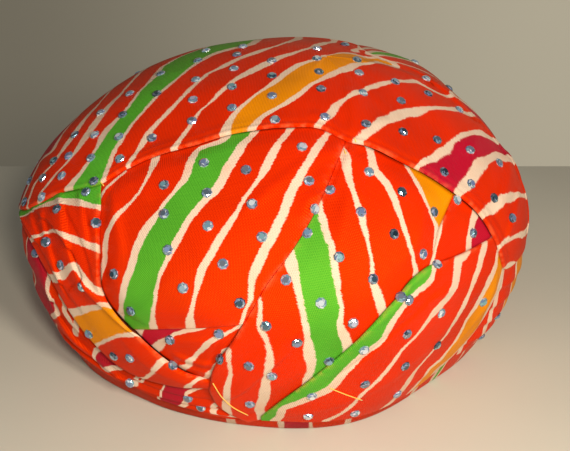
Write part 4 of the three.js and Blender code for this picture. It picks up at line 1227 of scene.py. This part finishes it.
def glass_material():
    """Cut glass with a foil back: each stone has its own colour, and its facets carry painted glints and
    painted shade, lighter and darker than that colour; the coat reflects the lamps as well.
    """
    n = Nodes("cut_glass")
    return n.finish({
        "Base Color": n.ramp(n.attribute("tone_with_painted_glint"), GLASS_STOPS),
        "Metallic": 0.55,
        "Roughness": 0.07,
        "Coat Weight": 1.0,
        "Coat Roughness": 0.02,
        "Coat IOR": 1.6,
    })


def floor_material():
    n = Nodes("floor")
    color = n.dimmed(FLOOR_COLOR, n.between(n.noise(n.place(), 5, 3.0), 0.3, 0.7, 0.97, 1.03))
    return n.finish({"Base Color": color, "Roughness": 0.8, "Specular IOR Level": 0.25})


def painted_light_wall_material():
    """A wall too far from the lamps, with painted light: it gives off light of its own, rising from the
    left to the right in place of lamp light.
    """
    n = Nodes("wall")
    across = n.add("ShaderNodeSeparateXYZ", {0: n.place()}).outputs["X"]
    painted_light = n.between(across, *WALL_SPAN, *WALL_PAINTED_LIGHT)
    colors = {"Base Color": WALL_COLOR, "Emission Color": WALL_COLOR}
    return n.finish({**colors, "Emission Strength": painted_light, "Roughness": 0.85})


LEHERIA = leheria_material()
INNER_CLOTH = inner_cloth_material()
THREAD = thread_material()
CUT_GLASS = glass_material()


def finished(piece, node, material):
    piece.data.materials.append(material)
    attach(piece, "root")
    if node:
        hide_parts(node)
    return piece


# The inner wraps
INNER = finished(inner_wraps_piece(), "inner_wraps", INNER_CLOTH)

# Turn of the threads of each cloth, in degrees
WEAVE_TURN = {
    "left_front_panel": 10, "right_front_panel": -25, "left_band": 40, "right_band": -20, "under_fold": 15,
}

# How each cloth is held.
HELD = {name: "folded" for name in CLOTHS}
HELD["crown_drape"] = "draped"
HELD["back_drape"] = "stretched"


def turn_matrix(degrees):
    c, s = math.cos(math.radians(degrees)), math.sin(math.radians(degrees))
    return np.array([[c, -s], [s, c]])


def weave_places(name, cloth):
    """Where each point lies along the cloth's threads, in mm."""
    if name in ROUND_DYE or name == "crown_drape":
        flat = cloth.weave
    else:
        middle = cloth.outer.reshape(-1, 3).mean(axis=0)
        azimuth = np.degrees(math.atan2(middle[0], -middle[1]))
        facing = outward(azimuth, 0.0)
        side = unit(np.cross([0, 0, 1.0], facing))
        flat = (cloth.outer - middle) @ np.stack([side, np.cross(facing, side)], -1)
        flat = flat @ turn_matrix(WEAVE_TURN.get(name, 0))
    return np.concatenate([flat, np.zeros((*flat.shape[:2], 1))], -1)


for name, rows in CREASES.items():
    creased_tree = surface_tree([CLOTHS[name]])
    for row in rows:
        crease(CLOTHS[name], creased_tree, *row)

# The outer cloths
for name, cloth in CLOTHS.items():
    points, faces, count = cloth.mesh_data()
    piece = make_mesh(name + "_cloth", points, faces)
    if name in DYE_LINES:
        dye = dye_from_lines(DYE_LINES[name], cloth)
    else:
        azimuths, lines = zip(*ROUND_DYE[name])
        dye = np.interp(cloth.places[..., 0], azimuths, lines)
    slope = dye_slope(dye, cloth.outer) * THIN_LINES.get(name, 1)
    labelled = {"dye": dye, "dye_slope": slope, "edge": cloth.edge, "painted_crease_shade": cloth.painted_crease_shade}
    for label, values in labelled.items():
        add_values(piece, label, [values, values])
    weave = weave_places(name, cloth)
    add_values(piece, "cloth_mm", [weave, weave], "FLOAT_VECTOR")
    finished(piece, name, LEHERIA)


OUTSIDE = surface_tree(CLOTHS.values())

# A cut stone: rings of its girdle, middle and table, as a share of its radius, a height in mm and a turn
STONE_RADIUS = 2.8
STONE_SECTION = [(1.0, -0.35, 0.0), (1.0, 0.35, 0.0), (0.86, 0.95, 0.5), (0.52, 1.55, 0.0)]
STONE_SIDES = 8
STONE_PIXELS = [
    (206, 51), (243, 47), (198, 61), (237, 55), (234, 69), (272, 61), (196, 80), (161, 74), (157, 94),
    (272, 76), (232, 87), (130, 94), (193, 100), (272, 96), (232, 108), (101, 113), (123, 115), (192, 121),
    (275, 120), (119, 137), (75, 135), (95, 135), (152, 138), (120, 159), (91, 158), (69, 156), (54, 161),
    (204, 163), (246, 170), (164, 185), (62, 176), (43, 178), (30, 181), (207, 193), (252, 204), (94, 181),
    (86, 192), (42, 197), (25, 202), (164, 214), (208, 226), (96, 223), (57, 209), (345, 45), (317, 49),
    (317, 59), (357, 60), (319, 72), (359, 73), (321, 89), (363, 93), (395, 82), (415, 62), (426, 79),
    (428, 94), (401, 101), (450, 87), (325, 117), (366, 124), (403, 132), (437, 140), (459, 110),
    (302, 147), (470, 150), (444, 172), (369, 172), (309, 181), (330, 190), (402, 192), (499, 163),
    (471, 184), (457, 200), (494, 198), (434, 212), (361, 212), (315, 209), (512, 218), (307, 233),
    (394, 234), (473, 233), (262, 237), (168, 250), (223, 264), (114, 274), (183, 288), (286, 280),
    (240, 303), (131, 311), (266, 326), (82, 287), (61, 265), (46, 242), (36, 253), (219, 334), (170, 340),
    (130, 358), (89, 334), (114, 356), (173, 365), (249, 366), (220, 359), (272, 376), (130, 383),
    (188, 398), (201, 407), (250, 404), (297, 343), (339, 257), (373, 279), (321, 303), (423, 254),
    (353, 323), (329, 361), (437, 264), (409, 300), (401, 297), (441, 313), (407, 334), (437, 345),
    (483, 302), (364, 350), (405, 366), (365, 384), (397, 394), (312, 396), (355, 413), (308, 416),
]
HIDDEN_STONE_STEP = 25
HIDDEN_STONE_LATITUDES = np.arange(-70, 72, 17.0)
FACING_AWAY = -0.05
LOWEST_STONE = 6

# The colour of a stone on the glass ramp, and how far the painted glints and painted shade of its facets
# are from it, and how often
STONE_TONES = (0.25, 0.8)
FACET_PAINTED_LIGHT = [-0.3, -0.12, 0, 0.2, 0.45]
FACET_SHARES = [0.25, 0.25, 0.2, 0.18, 0.12]


def stone_places():
    """Stones under their pixels at the front, and a loose lattice of them where the camera doesn't see."""
    places = [pixel_place(OUTSIDE, x, y) for x, y in STONE_PIXELS]
    rng = np.random.default_rng(11)
    eye = camera_frame()[0]
    for row, latitude in enumerate(HIDDEN_STONE_LATITUDES):
        around = 2 * math.pi * np.linalg.norm(form_point(90.0, latitude)[:2] - form_point(0.0, 90.0)[:2])
        number = max(3, round(around / HIDDEN_STONE_STEP))
        for k in range(number):
            azimuth = 360 * (k + 0.5 * (row % 2)) / number + rng.uniform(-3, 3)
            start = lifted(azimuth, latitude + rng.uniform(-4, 4), 15)
            way = -outward(azimuth, latitude)
            hit, normal, _, _ = OUTSIDE.ray_cast(Vector(start), Vector(way))
            if hit is None:
                continue
            hit, normal = np.array(hit), np.array(normal)
            near = min(np.linalg.norm(hit - other[0]) for other in places)
            facing = normal @ unit(eye - hit)
            if facing < FACING_AWAY and near > HIDDEN_STONE_STEP * 0.6 and hit[2] > LOWEST_STONE:
                places.append((hit, normal))
    return places


def stones_piece():
    rng = np.random.default_rng(5)
    points, faces, tones_with_painted_glints = [], [], []
    turn = 2 * math.pi * np.arange(STONE_SIDES) / STONE_SIDES
    k = np.arange(STONE_SIDES)
    after = (k + 1) % STONE_SIDES
    for place, normal in stone_places():
        side = unit(np.cross(normal, [0.3, 0.2, 1.0]))
        up = np.cross(normal, side)
        spin = rng.uniform(0, math.pi / 4)
        start = len(points)
        for share, height, shift in STONE_SECTION:
            angle = turn + spin + shift * math.pi / STONE_SIDES
            ring = np.cos(angle)[:, None] * side + np.sin(angle)[:, None] * up
            points.extend(place + ring * share * STONE_RADIUS + normal * height)
        for level in range(len(STONE_SECTION) - 1):
            low = start + level * STONE_SIDES
            high = low + STONE_SIDES
            faces += list(np.stack([low + k, low + after, high + k], -1))
            faces += list(np.stack([low + after, high + after, high + k], -1))
        faces.append(start + (len(STONE_SECTION) - 1) * STONE_SIDES + k)
        faces.append(start + k[::-1])
        facets = len(faces) - len(tones_with_painted_glints)
        # Each facet: the stone's own colour with painted glint or painted shade added
        tones_with_painted_glints += list(rng.uniform(*STONE_TONES) + rng.choice(FACET_PAINTED_LIGHT, facets, p=FACET_SHARES))
    piece = make_mesh("cut_stones", points, faces, smooth_shading=False)
    add_values(piece, "tone_with_painted_glint", tones_with_painted_glints, domain="FACE")
    return finished(piece, None, CUT_GLASS)


# Seam threads, as pixels along each one, and their radius
THREAD_PIXELS = [
    [(213, 383), (222, 397), (233, 407), (248, 415)],
    [(330, 388), (345, 394), (362, 400)],
    [(354, 138), (356, 142)],
    [(344, 150), (346, 154)],
    [(101, 182), (104, 186)],
]
THREAD_RADIUS = 0.28
THREAD_STEP = 0.8
THREAD_SIDES = 6
THREAD_LIFT = 0.2


def threads_piece():
    """Short lengths of thread that lie on the cloth."""
    points, faces = [], []
    k = np.arange(THREAD_SIDES)
    for row in THREAD_PIXELS:
        row = np.array(row, float)
        length = np.linalg.norm(np.diff(row, axis=0), axis=1).sum() / 2
        steps = np.linspace(0, len(row) - 1, max(4, int(length / THREAD_STEP)))
        places = [pixel_place(OUTSIDE, x, y) for x, y in curve_at(row, steps)]
        line = np.array([place for place, _ in places])
        normals = np.array([normal for _, normal in places])
        line += normals * THREAD_LIFT
        ways = unit(np.gradient(line, axis=0))
        start = len(points)
        for place, normal, way in zip(line, normals, ways):
            across = unit(np.cross(way, normal))
            up = np.cross(across, way)
            for angle in 2 * math.pi * k / THREAD_SIDES:
                points.append(place + THREAD_RADIUS * (math.cos(angle) * across + math.sin(angle) * up))
        faces += list(ring_faces(len(line), THREAD_SIDES)[:, ::-1] + start)
        faces.append(start + k)
        faces.append(start + (len(line) - 1) * THREAD_SIDES + k[::-1])
    return finished(make_mesh("seam_threads", points, faces), None, THREAD)


stones_piece()
threads_piece()


# The table top, and the wall far behind it, so that a view from behind isn't blocked
def stage_plane(name, start, across, rise, material):
    corners = [start - across, start + across, start + across + rise, start - across + rise]
    piece = make_mesh(name, corners, [[0, 1, 2, 3]], smooth_shading=False)
    piece.data.materials.append(material)


EYE, RIGHT, _, BACK = camera_frame()
LEVEL_BACK = unit(np.array([BACK[0], BACK[1], 0]))
MIDDLE = np.array([*CAMERA_AIM[:2], 0])
TABLE_EDGE = 232
WALL_BEHIND = 1250
STAGE_REACH = 2600
WALL_RISE = np.array([0, 0, 1400])
EDGE_MIDDLE = MIDDLE - LEVEL_BACK * TABLE_EDGE
WALL_FOOT = MIDDLE - LEVEL_BACK * WALL_BEHIND - WALL_RISE
stage_plane("floor", EDGE_MIDDLE, -RIGHT * STAGE_REACH, LEVEL_BACK * STAGE_REACH, floor_material())
stage_plane("wall", WALL_FOOT, RIGHT * STAGE_REACH, 2 * WALL_RISE, painted_light_wall_material())


# Lights: the place of each from the aim (right, up, towards the camera), size in mm, power and colour
LIGHTS = [
    ("key", (260, 420, 560), 120, 3.3, (1.0, 0.92, 0.82)),
    ("front", (40, 340, 470), 60, 1.7, (1.0, 0.93, 0.84)),
    ("fill", (-520, 300, 420), 600, 0.3, (0.95, 0.97, 1.0)),
]
for name, (across, rise, near), size, power, color in LIGHTS:
    lamp = bpy.data.lights.new(name, "AREA")
    lamp.shape = "DISK"
    lamp.size = size * MM
    lamp.energy = power
    lamp.color = color
    light = bpy.data.objects.new(name, lamp)
    bpy.context.scene.collection.objects.link(light)
    place = MIDDLE + RIGHT * across + LEVEL_BACK * near + np.array([0, 0, rise])
    light.location = Vector(place * MM)
    way = Vector(np.array(CAMERA_AIM) - place)
    light.rotation_euler = way.to_track_quat("-Z", "Y").to_euler()

SKY_COLOR = (0.95, 0.97, 1.0, 1)
SKY_STRENGTH = 0.14
WORLD = bpy.data.worlds.new("studio")
bpy.context.scene.world = WORLD
WORLD.use_nodes = True
SKY = WORLD.node_tree.nodes["Background"]
SKY.inputs["Color"].default_value = SKY_COLOR
SKY.inputs["Strength"].default_value = SKY_STRENGTH

# The camera
LENS = bpy.data.cameras.new("camera")
LENS.sensor_width = SENSOR_MM
LENS.lens = SENSOR_MM * FOCAL_PIXELS / PHOTO_WIDTH
LENS.clip_start = 0.01
LENS.clip_end = 20
CAMERA = bpy.data.objects.new("camera", LENS)
bpy.context.scene.collection.objects.link(CAMERA)
CAMERA.location = Vector(EYE * MM)
CAMERA.rotation_euler = Vector(-BACK).to_track_quat("-Z", "Y").to_euler()
bpy.context.scene.camera = CAMERA

# The photograph's colours are strong, so they are shown without a film curve
bpy.context.scene.view_settings.view_transform = "Standard"
